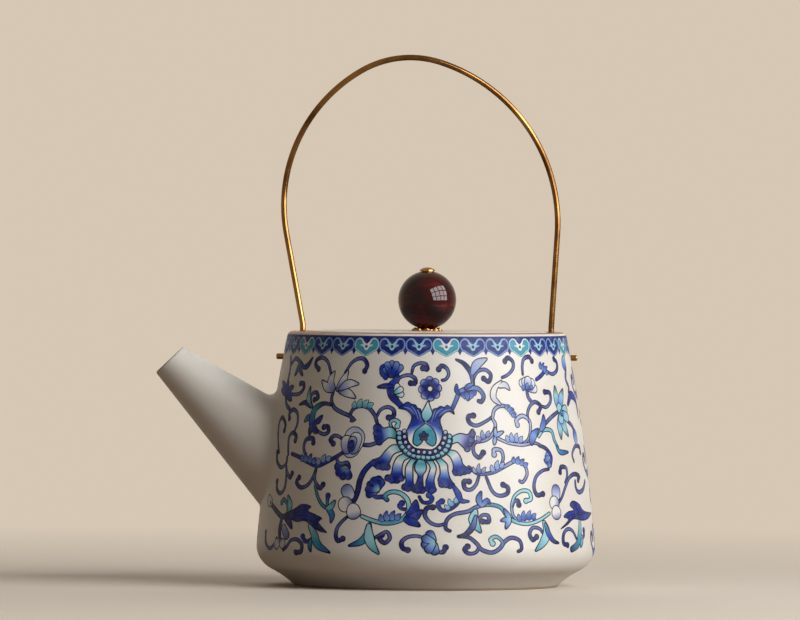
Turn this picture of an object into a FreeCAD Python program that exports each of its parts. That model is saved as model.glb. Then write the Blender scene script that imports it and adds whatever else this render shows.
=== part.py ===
"""A porcelain teapot with a straight spout, a flush lid and a brass wire bail.

Millimetres, +Z up. The origin is the middle of the foot ring's resting plane,
and the spout points along -X.
"""
import FreeCAD, Part
import math
import os
import Sketcher

Vector = FreeCAD.Vector

SIZES = {
    # pot: outer profile
    "body_height": 87.2,
    "rim_radius": 47.5,
    "belly_radius": 58.0,
    "belly_height": 14.5,
    "wall_bow": 600.0,
    "heel_round": 9.0,
    "cove_round": 30.0,
    "foot_radius": 45.0,
    "rim_round": 1.9,
    # pot: inside and underside
    "wall": 2.6,
    "mouth_round": 0.6,
    "floor_height": 7.5,
    "floor_round": 8.0,
    "foot_width": 4.5,
    "foot_draft": 1.2,
    "foot_round": 0.6,
    "base_recess": 3.0,
    # lid and the ledge that carries it
    "lid_proud": 0.2,
    "lid_thickness": 3.4,
    "lid_gap": 0.4,
    "lid_round": 0.9,
    "ledge_width": 3.2,
    "ledge_edge": 2.5,
    "ring_gap": 0.5,
    "ring_wall": 2.8,
    "ring_depth": 6.0,
    "ring_round": 0.8,
    "vent_radius": 1.2,
    "vent_offset": 17.0,
    # spout
    "spout_height": 48.0,
    "spout_lean": 49.8,
    "spout_length": 44.8,
    "spout_root_radius": 15.3,
    "spout_tip_radius": 6.3,
    "spout_wall": 2.1,
    "spout_mouth_tilt": 6.5,
    "spout_lip_round": 0.8,
    "spout_fillet": 2.6,
    "strainer_hole_radius": 1.9,
    "strainer_ring": 6.6,
    # bail
    "wire_radius": 1.0,
    "hook_drop": 8.8,
    "hook_out": 2.4,
    "hook_clearance": 0.3,
    "hook_round": 0.5,
    "hook_bend": 2.4,
    "leg_gap": 1.3,
    "knee_rise": 1.0,
    "knee_bend": 14.0,
    "leg_splay": 7.0,
    "bail_lean": 3.6,
    "bail_height": 93.9,
    "arch_rise": 60.4,
    "crown_tuck": 9.2,
    "crown_shift": 6.1,
    "bail_swing": 40.0,
    "notch_gap": 0.8,
    # knob
    "bead_radius": 10.0,
    "bead_bore": 1.65,
    "collar_radius": 5.3,
    "collar_height": 0.9,
    "collar_metal": 0.4,
    "collar_lip": 0.3,
    "collar_seat": 2.4,
    "petal_notch": 0.8,
    "screw_radius": 1.5,
    "screw_clearance": 0.1,
    "screw_end": 1.0,
    "screw_chamfer": 0.3,
    "head_radius": 2.6,
    "head_edge": 0.5,
    "head_height": 1.35,
    "lid_bore": 1.8,
    "seal_radius": 4.6,
    "seal_thickness": 1.0,
    "washer_radius": 4.0,
    "washer_thickness": 0.6,
    "nut_flats": 5.5,
    "nut_height": 2.4,
    "thread_clearance": 0.03,
}
STRAINER_RING_COUNT = 6
PETAL_COUNT = 8

# Heights and radii that several pieces share, as expressions on the sheet.
RIM = "Sizes.body_height"
MOUTH = "(Sizes.rim_radius - Sizes.wall)"
RISER = f"({MOUTH} - Sizes.leg_gap - Sizes.wire_radius)"
LID_EDGE = f"({RISER} - Sizes.wire_radius - Sizes.lid_gap)"
LID_TOP = f"({RIM} + Sizes.lid_proud)"
LID_SEAT = f"({LID_TOP} - Sizes.lid_thickness)"
LEDGE_RADIUS = f"({LID_EDGE} - Sizes.ledge_width)"
HOOK = f"({RIM} - Sizes.hook_drop)"
CROWN_RADIUS = f"({RISER} - Sizes.crown_tuck)"
SEAT_TOP = f"({LID_TOP} + Sizes.collar_height)"
BEAD_MIDDLE = f"({SEAT_TOP} + sqrt(Sizes.bead_radius ^ 2 - Sizes.collar_seat ^ 2))"
BEAD_HALF_BORE = "sqrt(Sizes.bead_radius ^ 2 - Sizes.bead_bore ^ 2)"
HEAD_BASE = f"({BEAD_MIDDLE} + {BEAD_HALF_BORE})"
SCREW_BORE = "(Sizes.screw_radius + Sizes.screw_clearance)"
SEAL_BASE = f"({LID_SEAT} - Sizes.seal_thickness)"
WASHER_BASE = f"({SEAL_BASE} - Sizes.washer_thickness)"
NUT_BASE = f"({WASHER_BASE} - Sizes.nut_height)"
SCREW_TIP = f"({NUT_BASE} - Sizes.screw_end)"

# Which way a drawn edge bends, seen along its direction of travel.
LEFT, RIGHT = "left", "right"
# A corner coordinate that starts with this mark is a first guess for the solver.
GUESS = "~"
# Sketch references: its horizontal axis, which also holds its origin, and its vertical one.
H_AXIS, V_AXIS = range(-1, -3, -1)
ORIGIN = H_AXIS
# Which point of a drawn edge is meant.
START, END, MIDDLE = range(1, 4)
# Two lengths nearer than this are the same.
CLOSE = 0.01

doc = FreeCAD.newDocument("Teapot")
sheet = doc.addObject("Spreadsheet::Sheet", "Sizes")
for row, (alias, value) in enumerate(SIZES.items(), start=1):
    sheet.set(f"A{row}", alias)
    sheet.set(f"B{row}", str(value))
    sheet.setAlias(f"B{row}", alias)
doc.recompute()


def number(expression):
    """The value of an expression on the sheet."""
    return float(sheet.evalExpression(expression.lstrip(GUESS)))


def new_body(label):
    body = doc.addObject("PartDesign::Body", label)
    body.Label = label
    return body


def origin_feature(body, role):
    return next(f for f in body.Origin.OriginFeatures if f.Role == role)


def new_sketch(body, plane, name, lift=None):
    """A sketch on one of the body's own planes, lifted along its normal."""
    sketch = body.newObject("Sketcher::SketchObject", name)
    sketch.AttachmentSupport = (origin_feature(body, plane), "")
    sketch.MapMode = "FlatFace"
    if lift:
        sketch.setExpression("AttachmentOffset.Base.z", lift)
    return sketch


def bind(sketch, constraint, expression):
    """Adds a constraint and ties its value to the sheet."""
    index = sketch.addConstraint(constraint)
    sketch.setExpression(f"Constraints[{index}]", expression)


def place(sketch, geo, end, x, y):
    """Ties a point's coordinates to the sheet, apart from those that are guesses."""
    for kind, axis, expression in (("DistanceX", V_AXIS, x), ("DistanceY", H_AXIS, y)):
        if expression.startswith(GUESS):
            continue
        value = number(expression)
        if abs(value) < CLOSE:
            sketch.addConstraint(Sketcher.Constraint("PointOnObject", geo, end, axis))
        else:
            bind(sketch, Sketcher.Constraint(kind, ORIGIN, START, geo, end, value), expression)


def arc_between(first, last, radius, bend):
    """The short arc from first to last that bends the given way."""
    chord = last - first
    rise = math.sqrt(max(radius ** 2 - chord.Length ** 2 / 4, 0.0))
    across = Vector(-chord.y, chord.x, 0) / chord.Length
    middle = (first + last) / 2 + across * (rise if bend == LEFT else -rise)
    if bend == RIGHT:
        first, last = last, first
    angles = [math.atan2(p.y - middle.y, p.x - middle.x) for p in (first, last)]
    return Part.ArcOfCircle(Part.Circle(middle, Vector(0, 0, 1), radius), *angles)


def outline(sketch, corners, arcs=None, smooth=(), closed=True):
    """Draws lines and arcs through corners, and returns the geometry's numbers.

    arcs maps an edge's number to its radius and bend; a radius that is a guess is
    left to the solver. smooth lists the corners where two edges run on tangentially.
    """
    arcs = arcs or {}
    points = [Vector(number(x), number(y), 0) for x, y in corners]
    count = len(corners) if closed else len(corners) - 1
    edges = []
    for i in range(count):
        first, last = points[i], points[(i + 1) % len(points)]
        if i not in arcs:
            edges.append((sketch.addGeometry(Part.LineSegment(first, last)), START, END))
            continue
        radius, bend = arcs[i]
        geo = sketch.addGeometry(arc_between(first, last, number(radius), bend))
        edges.append((geo, START, END) if bend == LEFT else (geo, END, START))
    for i in range(0 if closed else 1, count):
        before, after = edges[i - 1], edges[i]
        kind = "Tangent" if i in smooth else "Coincident"
        sketch.addConstraint(Sketcher.Constraint(kind, before[0], before[2], after[0], after[1]))
    for i, (x, y) in enumerate(corners):
        geo, end = edges[i][:2] if i < count else edges[-1][::2]
        place(sketch, geo, end, x, y)
    for i, (radius, _) in arcs.items():
        if not radius.startswith(GUESS):
            bind(sketch, Sketcher.Constraint("Radius", edges[i][0], number(radius)), radius)
    return [geo for geo, _, _ in edges]


def round_corners(sketch, edges, corners, rounds):
    """Rounds corners of a closed outline; each sharp corner stays as a point on both edges."""
    for i, radius in rounds.items():
        pair = edges[i - 1], edges[i]
        x, y = corners[i]
        corner = Vector(number(x), number(y), 0)
        sides = []
        for geo in pair:
            edge = sketch.Geometry[geo]
            near = edge.parameter(corner)
            middle = (edge.FirstParameter + edge.LastParameter) / 2
            sides.append(edge.value(near + (middle - near) / 10))
        sketch.fillet(*pair, *sides, number(radius), True, False)
        arc = sketch.GeometryCount - 1
        spot = sketch.addGeometry(Part.Point(corner), True)
        for geo in pair:
            sketch.addConstraint(Sketcher.Constraint("PointOnObject", spot, START, geo))
        place(sketch, spot, START, x, y)
        bind(sketch, Sketcher.Constraint("Radius", arc, number(radius)), radius)


def circle(sketch, radius, x="0", y="0"):
    middle = Vector(number(x), number(y), 0)
    geo = sketch.addGeometry(Part.Circle(middle, Vector(0, 0, 1), number(radius)))
    place(sketch, geo, MIDDLE, x, y)
    bind(sketch, Sketcher.Constraint("Radius", geo, number(radius)), radius)


def revolve(body, sketch, name):
    """Turns a profile about the sketch's vertical axis."""
    feature = body.newObject("PartDesign::Revolution", name)
    feature.Profile = sketch
    feature.ReferenceAxis = (sketch, ["V_Axis"])
    return feature


def cut_through(body, sketch, name, symmetric):
    """A pocket through everything on one side of the sketch, or on both."""
    before = body.Shape.Volume
    pocket = body.newObject("PartDesign::Pocket", name)
    pocket.Profile = sketch
    pocket.Type = "ThroughAll"
    pocket.SideType = "Symmetric" if symmetric else "One side"
    doc.recompute()
    if body.Shape.Volume >= before - CLOSE:
        raise RuntimeError(f"{name} cuts nothing")
    return pocket


def pad(body, sketch, name, length):
    feature = body.newObject("PartDesign::Pad", name)
    feature.Profile = sketch
    feature.setExpression("Length", length)
    return feature


def fillet(body, base, edges, radius, name):
    feature = body.newObject("PartDesign::Fillet", name)
    feature.Base = (base, edges)
    feature.setExpression("Radius", radius)
    doc.recompute()
    return feature


def wall_radius(height):
    """The wall's outer radius at a height: the chord of its bow, and the bow's rise over it."""
    wall_height = "(Sizes.body_height - Sizes.belly_height)"
    climb = f"(({height} - Sizes.belly_height) / {wall_height})"
    chord = f"(Sizes.belly_radius + (Sizes.rim_radius - Sizes.belly_radius) * {climb})"
    return f"({chord} + {wall_height} ^ 2 / (2 * Sizes.wall_bow) * {climb} * (1 - {climb}))"


def outer_profile():
    """Rim, bowed wall, heel, cove and foot, from the top down."""
    corners = [
        ("Sizes.rim_radius", RIM),
        ("Sizes.belly_radius", "Sizes.belly_height"),
        (GUESS + "Sizes.belly_radius - Sizes.heel_round / 2",
         GUESS + "Sizes.belly_height - Sizes.heel_round * 0.87"),
        ("Sizes.foot_radius", "0"),
    ]
    arcs = {
        0: ("Sizes.wall_bow", RIGHT),
        1: ("Sizes.heel_round", RIGHT),
        2: ("Sizes.cove_round", LEFT),
    }
    return corners, arcs


def make_pot_body():
    body = new_body("pot_body")
    shell = new_sketch(body, "XZ_Plane", "pot_profile")
    corners, arcs = outer_profile()
    foot_inner = "(Sizes.foot_radius - Sizes.foot_width)"
    inner_wall = "(Sizes.belly_radius - Sizes.wall)"
    corners += [
        (foot_inner, "0"),
        (f"{foot_inner} - Sizes.foot_draft", "Sizes.base_recess"),
        ("0", "Sizes.base_recess"),
        ("0", "Sizes.floor_height"),
        (f"{GUESS}{inner_wall} - Sizes.floor_round", "Sizes.floor_height"),
        (GUESS + inner_wall, GUESS + "Sizes.floor_height + Sizes.floor_round"),
        (GUESS + MOUTH, RIM),
    ]
    arcs[8] = ("Sizes.floor_round", LEFT)
    arcs[9] = ("Sizes.wall_bow - Sizes.wall", LEFT)
    edges = outline(shell, corners, arcs, smooth=(1, 2, 8, 9))
    # The inner wall runs parallel to the outer one.
    shell.addConstraint(Sketcher.Constraint("Coincident", edges[0], MIDDLE, edges[9], MIDDLE))
    round_corners(shell, edges, corners, {
        0: "Sizes.rim_round",
        3: "Sizes.foot_round",
        4: "Sizes.foot_round",
        10: "Sizes.mouth_round",
    })
    revolve(body, shell, "pot_wall")
    doc.recompute()

    # The lid's ledge is two arcs that leave room for the bail's legs to swing.
    ledge_sketch = new_sketch(body, "YZ_Plane", "ledge_profile")
    underside = f"({LID_SEAT} - Sizes.ledge_edge)"
    toe = f"({underside} - Sizes.rim_radius + {LEDGE_RADIUS})"
    outline(ledge_sketch, [
        (LEDGE_RADIUS, LID_SEAT),
        (LEDGE_RADIUS, underside),
        ("Sizes.rim_radius", toe),
        ("Sizes.rim_radius - Sizes.wall / 2", LID_SEAT),
    ])
    ledge = revolve(body, ledge_sketch, "ledge_arc")
    ledge.Midplane = True
    swing_rise = f"({LID_SEAT} - {HOOK})"
    notch = f"({swing_rise} * tan(Sizes.bail_swing) + Sizes.wire_radius / cos(Sizes.bail_swing)"
    notch += " + Sizes.notch_gap)"
    ledge.setExpression("Angle", f"180 deg - 2 * asin({notch} / ({RISER} - Sizes.wire_radius))")
    ledges = body.newObject("PartDesign::PolarPattern", "ledge_pair")
    ledges.Originals = [ledge]
    ledges.Axis = (origin_feature(body, "Z_Axis"), [""])
    ledges.Occurrences = 2
    body.Tip = ledges
    doc.recompute()

    hooks = new_sketch(body, "YZ_Plane", "hook_hole_sketch")
    circle(hooks, "Sizes.wire_radius + Sizes.hook_clearance", "0", HOOK)
    cut_through(body, hooks, "hook_holes", symmetric=True)

    strainer = new_sketch(body, "YZ_Plane", "strainer_sketch")
    circle(strainer, "Sizes.strainer_hole_radius", "0", "Sizes.spout_height")
    for k in range(STRAINER_RING_COUNT):
        turn = 360 * k / STRAINER_RING_COUNT
        circle(strainer, "Sizes.strainer_hole_radius",
               f"Sizes.strainer_ring * cos({turn})",
               f"Sizes.spout_height + Sizes.strainer_ring * sin({turn})")
    cut_through(body, strainer, "strainer_holes", symmetric=False)
    return body


def make_wall_form():
    """The pot's outside as one solid, used only to fit the spout's root to the wall."""
    body = new_body("wall_form")
    sketch = new_sketch(body, "XZ_Plane", "wall_form_profile")
    corners, arcs = outer_profile()
    outline(sketch, corners + [("0", "0"), ("0", RIM)], arcs, smooth=(1, 2))
    revolve(body, sketch, "wall_form_turn")
    doc.recompute()
    return body


def make_spout(wall_form):
    blank = new_body("spout_blank")
    tilt = FreeCAD.Rotation(Vector(0, -1, 0), number("Sizes.spout_lean"))
    blank.Placement = FreeCAD.Placement(Vector(), tilt)
    blank.setExpression("Placement.Base.x", f"-{wall_radius('Sizes.spout_height')}")
    blank.setExpression("Placement.Base.z", "Sizes.spout_height")
    blank.setExpression("Placement.Rotation.Angle", "Sizes.spout_lean * 1 deg")

    # In the blank's own frame the spout's axis is Z, with the wall at zero.
    taper = "((Sizes.spout_root_radius - Sizes.spout_tip_radius) / Sizes.spout_length)"
    inside = "(2 * Sizes.spout_root_radius)"
    spare = "(2 * Sizes.spout_tip_radius)"
    root = f"(Sizes.spout_root_radius + {inside} * {taper})"
    tip = f"(Sizes.spout_tip_radius - {spare} * {taper})"
    sketch = new_sketch(blank, "XZ_Plane", "spout_profile")
    outline(sketch, [
        (root, f"-{inside}"),
        (tip, f"Sizes.spout_length + {spare}"),
        (f"{tip} - Sizes.spout_wall", f"Sizes.spout_length + {spare}"),
        (f"{root} - Sizes.spout_wall", f"-{inside}"),
    ])
    revolve(blank, sketch, "spout_tube")
    doc.recompute()

    mouth = new_sketch(blank, "XZ_Plane", "spout_mouth_sketch")
    half = "(3 * Sizes.spout_tip_radius)"
    slope = "tan(Sizes.spout_mouth_tilt)"
    beyond = f"Sizes.spout_length + 2 * {half}"
    outline(mouth, [
        (f"-{half}", f"Sizes.spout_length + {half} * {slope}"),
        (half, f"Sizes.spout_length - {half} * {slope}"),
        (half, beyond),
        (f"-{half}", beyond),
    ])
    trimmed = cut_through(blank, mouth, "spout_mouth", symmetric=True)
    lip = [f"Edge{i}" for i, edge in enumerate(trimmed.Shape.Edges, start=1)
           if edge.BoundBox.ZMin > 0]
    fillet(blank, trimmed, lip, "Sizes.spout_lip_round", "spout_lip")

    # The blank is joined to the wall, the seam is filleted, and the wall is taken away again.
    joined = doc.addObject("Part::Fuse", "spout_on_wall")
    joined.Base, joined.Tool = blank, wall_form
    doc.recompute()
    flared = doc.addObject("Part::Fillet", "spout_seam")
    flared.Base = joined
    radius = number("Sizes.spout_fillet")
    flared.Edges = [(i, radius, radius) for i in seam_edges(joined.Shape, blank, wall_form)]
    doc.recompute()
    spout = doc.addObject("Part::Cut", "spout")
    spout.Label = "spout"
    spout.Base, spout.Tool = flared, wall_form
    doc.recompute()
    return spout


def seam_edges(shape, blank, wall_form):
    """The edges where the spout's outer cone meets the wall."""
    to_blank = blank.Placement.inverse()
    length = number("Sizes.spout_length")
    root, tip = number("Sizes.spout_root_radius"), number("Sizes.spout_tip_radius")
    found = []
    for index, edge in enumerate(shape.Edges, start=1):
        point = edge.valueAt((edge.FirstParameter + edge.LastParameter) / 2)
        local = to_blank.multVec(point)
        cone = root - (root - tip) * local.z / length
        on_cone = abs(math.hypot(local.x, local.y) - cone) < CLOSE
        on_wall = wall_form.Shape.Shells[0].distToShape(Part.Vertex(point))[0] < CLOSE
        if on_cone and on_wall and edge.Length > CLOSE:
            found.append(index)
    return found


def make_lid():
    body = new_body("lid")
    sketch = new_sketch(body, "XZ_Plane", "lid_profile")
    ring_outer = f"({LEDGE_RADIUS} - Sizes.ring_gap)"
    ring_inner = f"({ring_outer} - Sizes.ring_wall)"
    ring_base = f"({LID_SEAT} - Sizes.ring_depth)"
    corners = [
        ("Sizes.lid_bore", LID_TOP),
        (LID_EDGE, LID_TOP),
        (LID_EDGE, LID_SEAT),
        (ring_outer, LID_SEAT),
        (ring_outer, ring_base),
        (ring_inner, ring_base),
        (ring_inner, LID_SEAT),
        ("Sizes.lid_bore", LID_SEAT),
    ]
    edges = outline(sketch, corners)
    round_corners(sketch, edges, corners, {
        1: "Sizes.lid_round",
        4: "Sizes.ring_round",
        5: "Sizes.ring_round",
    })
    revolve(body, sketch, "lid_turn")
    doc.recompute()
    vent = new_sketch(body, "XY_Plane", "vent_sketch")
    circle(vent, "Sizes.vent_radius", "Sizes.vent_offset", "0")
    cut_through(body, vent, "vent_hole", symmetric=True)
    return body


def hook_tip():
    """How far a hook's pin reaches from the axis, through the wall and out of it."""
    return f"({wall_radius(HOOK)} + Sizes.hook_out)"


def bail_side(side, crown):
    """One side's path corners from the hook's tip up to the crown, and the side arc's radius.

    side is -1 towards the spout and 1 away from it; crown is the crown arc's middle.
    """
    splay = f"(Sizes.leg_splay - {side} * Sizes.bail_lean)"
    tip = f"({side} * {hook_tip()})"
    bend_x = f"({side} * ({RISER} + Sizes.hook_bend))"
    knee_z = f"({RIM} + Sizes.knee_rise)"
    leg_x = f"({side} * ({RISER} + Sizes.knee_bend * (1 - cos({splay}))))"
    leg_z = f"({knee_z} + Sizes.knee_bend * sin({splay}))"
    spring_z = f"({RIM} + Sizes.bail_height - Sizes.arch_rise)"
    spring_x = f"({leg_x} + {side} * ({spring_z} - {leg_z}) * tan({splay}))"
    # The side arc touches the leg at the spring point and the crown's circle from outside.
    lean = math.radians(number(splay))
    spring = Vector(number(spring_x), number(spring_z), 0)
    inward = Vector(-side * math.cos(lean), math.sin(lean), 0)
    reach = spring - crown
    crown_radius = number(CROWN_RADIUS)
    radius = (crown_radius ** 2 - reach.Length ** 2) / (2 * (inward.dot(reach) + crown_radius))
    middle = spring + inward * radius
    meet = middle + (crown - middle).normalize() * radius
    corners = [
        (tip, HOOK),
        (bend_x, HOOK),
        (f"{side} * {RISER}", f"{HOOK} + Sizes.hook_bend"),
        (f"{side} * {RISER}", knee_z),
        (leg_x, leg_z),
        (spring_x, spring_z),
        (f"{GUESS}{meet.x}", f"{GUESS}{meet.y}"),
    ]
    return corners, f"{GUESS}{radius}"


def make_bail():
    body = new_body("bail")
    path = new_sketch(body, "XZ_Plane", "bail_path")
    crown_z = f"({RIM} + Sizes.bail_height - {CROWN_RADIUS})"
    crown = Vector(number("-Sizes.crown_shift"), number(crown_z), 0)
    near, near_radius = bail_side(-1, crown)
    far, far_radius = bail_side(1, crown)
    arcs = {
        1: ("Sizes.hook_bend", LEFT),
        3: ("Sizes.knee_bend", LEFT),
        5: (near_radius, RIGHT),
        6: (CROWN_RADIUS, RIGHT),
        7: (far_radius, RIGHT),
        9: ("Sizes.knee_bend", LEFT),
        11: ("Sizes.hook_bend", LEFT),
    }
    corners = near + far[::-1]
    edges = outline(path, corners, arcs, smooth=(5, 6, 7, 8), closed=False)
    place(path, edges[6], MIDDLE, "-Sizes.crown_shift", crown_z)
    section = new_sketch(body, "YZ_Plane", "bail_section", lift=f"-{hook_tip()}")
    circle(section, "Sizes.wire_radius", "0", HOOK)
    wire = body.newObject("PartDesign::AdditivePipe", "bail_wire")
    wire.Profile = section
    wire.Spine = path
    doc.recompute()
    reach = number(hook_tip())
    ends = [f"Edge{i}" for i, edge in enumerate(wire.Shape.Edges, start=1)
            if edge.BoundBox.XLength < CLOSE and abs(abs(edge.BoundBox.XMin) - reach) < CLOSE]
    fillet(body, wire, ends, "Sizes.hook_round", "hook_rounds")
    return body


def make_bead():
    body = new_body("knob_bead")
    sketch = new_sketch(body, "XZ_Plane", "bead_profile")
    outline(sketch, [
        ("Sizes.bead_bore", f"{BEAD_MIDDLE} - {BEAD_HALF_BORE}"),
        ("Sizes.bead_radius", BEAD_MIDDLE),
        ("Sizes.bead_bore", f"{BEAD_MIDDLE} + {BEAD_HALF_BORE}"),
    ], {0: ("Sizes.bead_radius", LEFT), 1: ("Sizes.bead_radius", LEFT)})
    revolve(body, sketch, "bead_turn")
    doc.recompute()
    return body


def make_collar():
    """A stamped flower: a thin dome, dished for the bead and scalloped at its edge."""
    body = new_body("flower_collar")
    sketch = new_sketch(body, "XZ_Plane", "collar_profile")
    dish = f"({SEAT_TOP} - Sizes.collar_metal)"
    dome = "(2 * Sizes.collar_radius)"
    outline(sketch, [
        ("Sizes.collar_radius", LID_TOP),
        ("Sizes.collar_radius", f"{LID_TOP} + Sizes.collar_lip"),
        ("Sizes.collar_seat", SEAT_TOP),
        (SCREW_BORE, dish),
        (SCREW_BORE, f"{dish} - Sizes.collar_metal"),
        ("Sizes.collar_seat", dish),
        ("Sizes.collar_radius - Sizes.petal_notch", LID_TOP),
    ], {1: (dome, LEFT), 5: (dome, RIGHT)})
    revolve(body, sketch, "collar_dome")
    doc.recompute()
    scallop = new_sketch(body, "XY_Plane", "scallop_sketch")
    half_petal = 180 / PETAL_COUNT
    circle(scallop, "Sizes.petal_notch", f"Sizes.collar_radius * cos({half_petal})",
           f"Sizes.collar_radius * sin({half_petal})")
    notch = cut_through(body, scallop, "scallop", symmetric=True)
    flower = body.newObject("PartDesign::PolarPattern", "petals")
    flower.Originals = [notch]
    flower.Axis = (origin_feature(body, "Z_Axis"), [""])
    flower.Occurrences = PETAL_COUNT
    body.Tip = flower
    doc.recompute()
    return body


def make_screw():
    body = new_body("knob_screw")
    sketch = new_sketch(body, "XZ_Plane", "screw_profile")
    dome_rise = "(Sizes.head_height - Sizes.head_edge)"
    dome = f"((Sizes.head_radius ^ 2 + {dome_rise} ^ 2) / (2 * {dome_rise}))"
    outline(sketch, [
        ("0", f"{HEAD_BASE} + Sizes.head_height"),
        ("0", SCREW_TIP),
        ("Sizes.screw_radius - Sizes.screw_chamfer", SCREW_TIP),
        ("Sizes.screw_radius", f"{SCREW_TIP} + Sizes.screw_chamfer"),
        ("Sizes.screw_radius", HEAD_BASE),
        ("Sizes.head_radius", HEAD_BASE),
        ("Sizes.head_radius", f"{HEAD_BASE} + Sizes.head_edge"),
    ], {6: (dome, LEFT)})
    revolve(body, sketch, "screw_turn")
    doc.recompute()
    return body


def make_washer(label, base, thickness, radius, bore):
    body = new_body(label)
    sketch = new_sketch(body, "XY_Plane", f"{label}_sketch", lift=base)
    circle(sketch, radius)
    circle(sketch, bore)
    pad(body, sketch, f"{label}_pad", thickness)
    doc.recompute()
    return body


def make_nut():
    body = new_body("knob_nut")
    sketch = new_sketch(body, "XY_Plane", "nut_sketch", lift=NUT_BASE)
    corner = "(Sizes.nut_flats / 2 / cos(30))"
    outline(sketch, [(f"{corner} * cos({60 * k})", f"{corner} * sin({60 * k})") for k in range(6)])
    circle(sketch, "Sizes.screw_radius + Sizes.thread_clearance")
    pad(body, sketch, "nut_pad", "Sizes.nut_height")
    doc.recompute()
    chamfers = new_sketch(body, "XZ_Plane", "nut_chamfer_sketch")
    flat = "(Sizes.nut_flats / 2)"
    beyond = f"({corner} + ({corner} - {flat}))"
    drop = f"(({beyond} - {flat}) * tan(30))"
    for face, away in ((f"{NUT_BASE} + Sizes.nut_height", -1), (NUT_BASE, 1)):
        outline(chamfers, [
            (flat, face),
            (beyond, face),
            (beyond, f"{face} + {away} * {drop}"),
        ])
    groove = body.newObject("PartDesign::Groove", "nut_chamfers")
    groove.Profile = chamfers
    groove.ReferenceAxis = (chamfers, ["V_Axis"])
    doc.recompute()
    return body


def main():
    wall_form = make_wall_form()
    parts = [
        make_pot_body(),
        make_spout(wall_form),
        make_lid(),
        make_bail(),
        make_bead(),
        make_collar(),
        make_screw(),
        make_washer("seal_washer", SEAL_BASE, "Sizes.seal_thickness",
                    "Sizes.seal_radius", SCREW_BORE),
        make_washer("brass_washer", WASHER_BASE, "Sizes.washer_thickness",
                    "Sizes.washer_radius", SCREW_BORE),
        make_nut(),
    ]
    doc.recompute()
    for item in doc.Objects:
        if {"Invalid", "Error"} & set(item.State):
            raise RuntimeError(f"{item.Label} failed: {item.State}")
    for part in parts:
        if part.Shape.isNull() or not part.Shape.isValid() or len(part.Shape.Solids) != 1:
            raise RuntimeError(f"{part.Label} isn't one valid solid")
    os.makedirs("parts", exist_ok=True)
    for part in parts:
        part.Shape.exportStep(f"parts/{part.Label}.step")
        box = part.Shape.BoundBox
        print(f"{part.Label}: {part.Shape.Volume:.1f} mm3, x {box.XMin:.2f} {box.XMax:.2f}, "
              f"z {box.ZMin:.2f} {box.ZMax:.2f}, {len(part.Shape.Faces)} faces")


main()
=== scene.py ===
# %% [markdown]
# # A blue and white teapot
# This lesson dresses a packed teapot: a porcelain pot with a straight spout, a flush lid with a
# red stone bead for a knob, and a bail bent from brass wire. The solids come from the frame and
# are never moved. Everything added here is in metres, at the place it has on the real pot.

# %% Load the frame
import math

import bmesh
import bpy
from mathutils import Matrix, Vector
from mathutils.geometry import interpolate_bezier


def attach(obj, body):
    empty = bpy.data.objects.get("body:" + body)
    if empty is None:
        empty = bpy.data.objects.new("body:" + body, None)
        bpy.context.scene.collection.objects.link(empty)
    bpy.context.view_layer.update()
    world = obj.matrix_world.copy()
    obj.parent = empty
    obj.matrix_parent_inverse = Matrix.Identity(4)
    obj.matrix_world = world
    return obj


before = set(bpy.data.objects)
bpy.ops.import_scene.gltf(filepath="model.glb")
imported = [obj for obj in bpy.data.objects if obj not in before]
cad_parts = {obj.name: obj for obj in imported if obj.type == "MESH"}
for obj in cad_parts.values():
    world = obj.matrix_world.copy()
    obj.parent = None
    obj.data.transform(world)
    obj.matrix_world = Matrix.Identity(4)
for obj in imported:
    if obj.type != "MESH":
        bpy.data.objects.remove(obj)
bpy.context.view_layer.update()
MM = 0.001
scene = bpy.context.scene
scene.view_settings.view_transform = "Standard"
print("nodes:", sorted(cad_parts))

# %% [markdown]
# ## Camera
# The photograph was taken from the front with a long lens, a little above the rim. A long lens
# keeps the pot's sides nearly parallel. The view is set by real sizes: how far the camera stands,
# how wide the picture is at the pot's axis, and which point of the pot is in its middle.

# %% Camera at the photograph's viewing angle
CAMERA_DISTANCE = 3300 * MM
CAMERA_HEIGHT = 125 * MM
PICTURE_WIDTH = 274.4 * MM
PICTURE_MIDDLE = Vector((-9.3, 0, 94.5)) * MM
CAMERA_ROLL = math.radians(0.35)
SENSOR_WIDTH = 36.0

camera_data = bpy.data.cameras.new("camera")
camera_data.sensor_width = SENSOR_WIDTH
camera_data.lens = SENSOR_WIDTH * CAMERA_DISTANCE / PICTURE_WIDTH
camera = bpy.data.objects.new("camera", camera_data)
scene.collection.objects.link(camera)
camera.location = (PICTURE_MIDDLE.x, -CAMERA_DISTANCE, CAMERA_HEIGHT)
aim = (PICTURE_MIDDLE - camera.location).to_track_quat("-Z", "Y").to_matrix().to_4x4()
camera.matrix_world = (Matrix.Translation(camera.location) @ aim
                       @ Matrix.Rotation(CAMERA_ROLL, 4, "Z"))
scene.camera = camera
print(f"lens {camera_data.lens:.0f} mm")

# %% [markdown]
# ## Shader maths
# Node trees are easier to read as expressions. A small class wraps a socket, so that adding or
# multiplying two values adds the Math node for it. A second class holds a node tree and has one
# method that adds any other node, and a third is such a tree for one material's shader.


# %% Shader helpers
def srgb(red, green, blue):
    """A colour, 0 to 255, as the linear values that shaders use."""
    linear = [(c / 255 / 12.92) if c < 10 else ((c / 255 + 0.055) / 1.055) ** 2.4
              for c in (red, green, blue)]
    return (*linear, 1.0)


def plug(tree, value, socket):
    """Links a wrapped value to a socket, or sets a plain one on it."""
    if isinstance(value, Value):
        tree.links.new(value.socket, socket)
    else:
        socket.default_value = value


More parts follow.
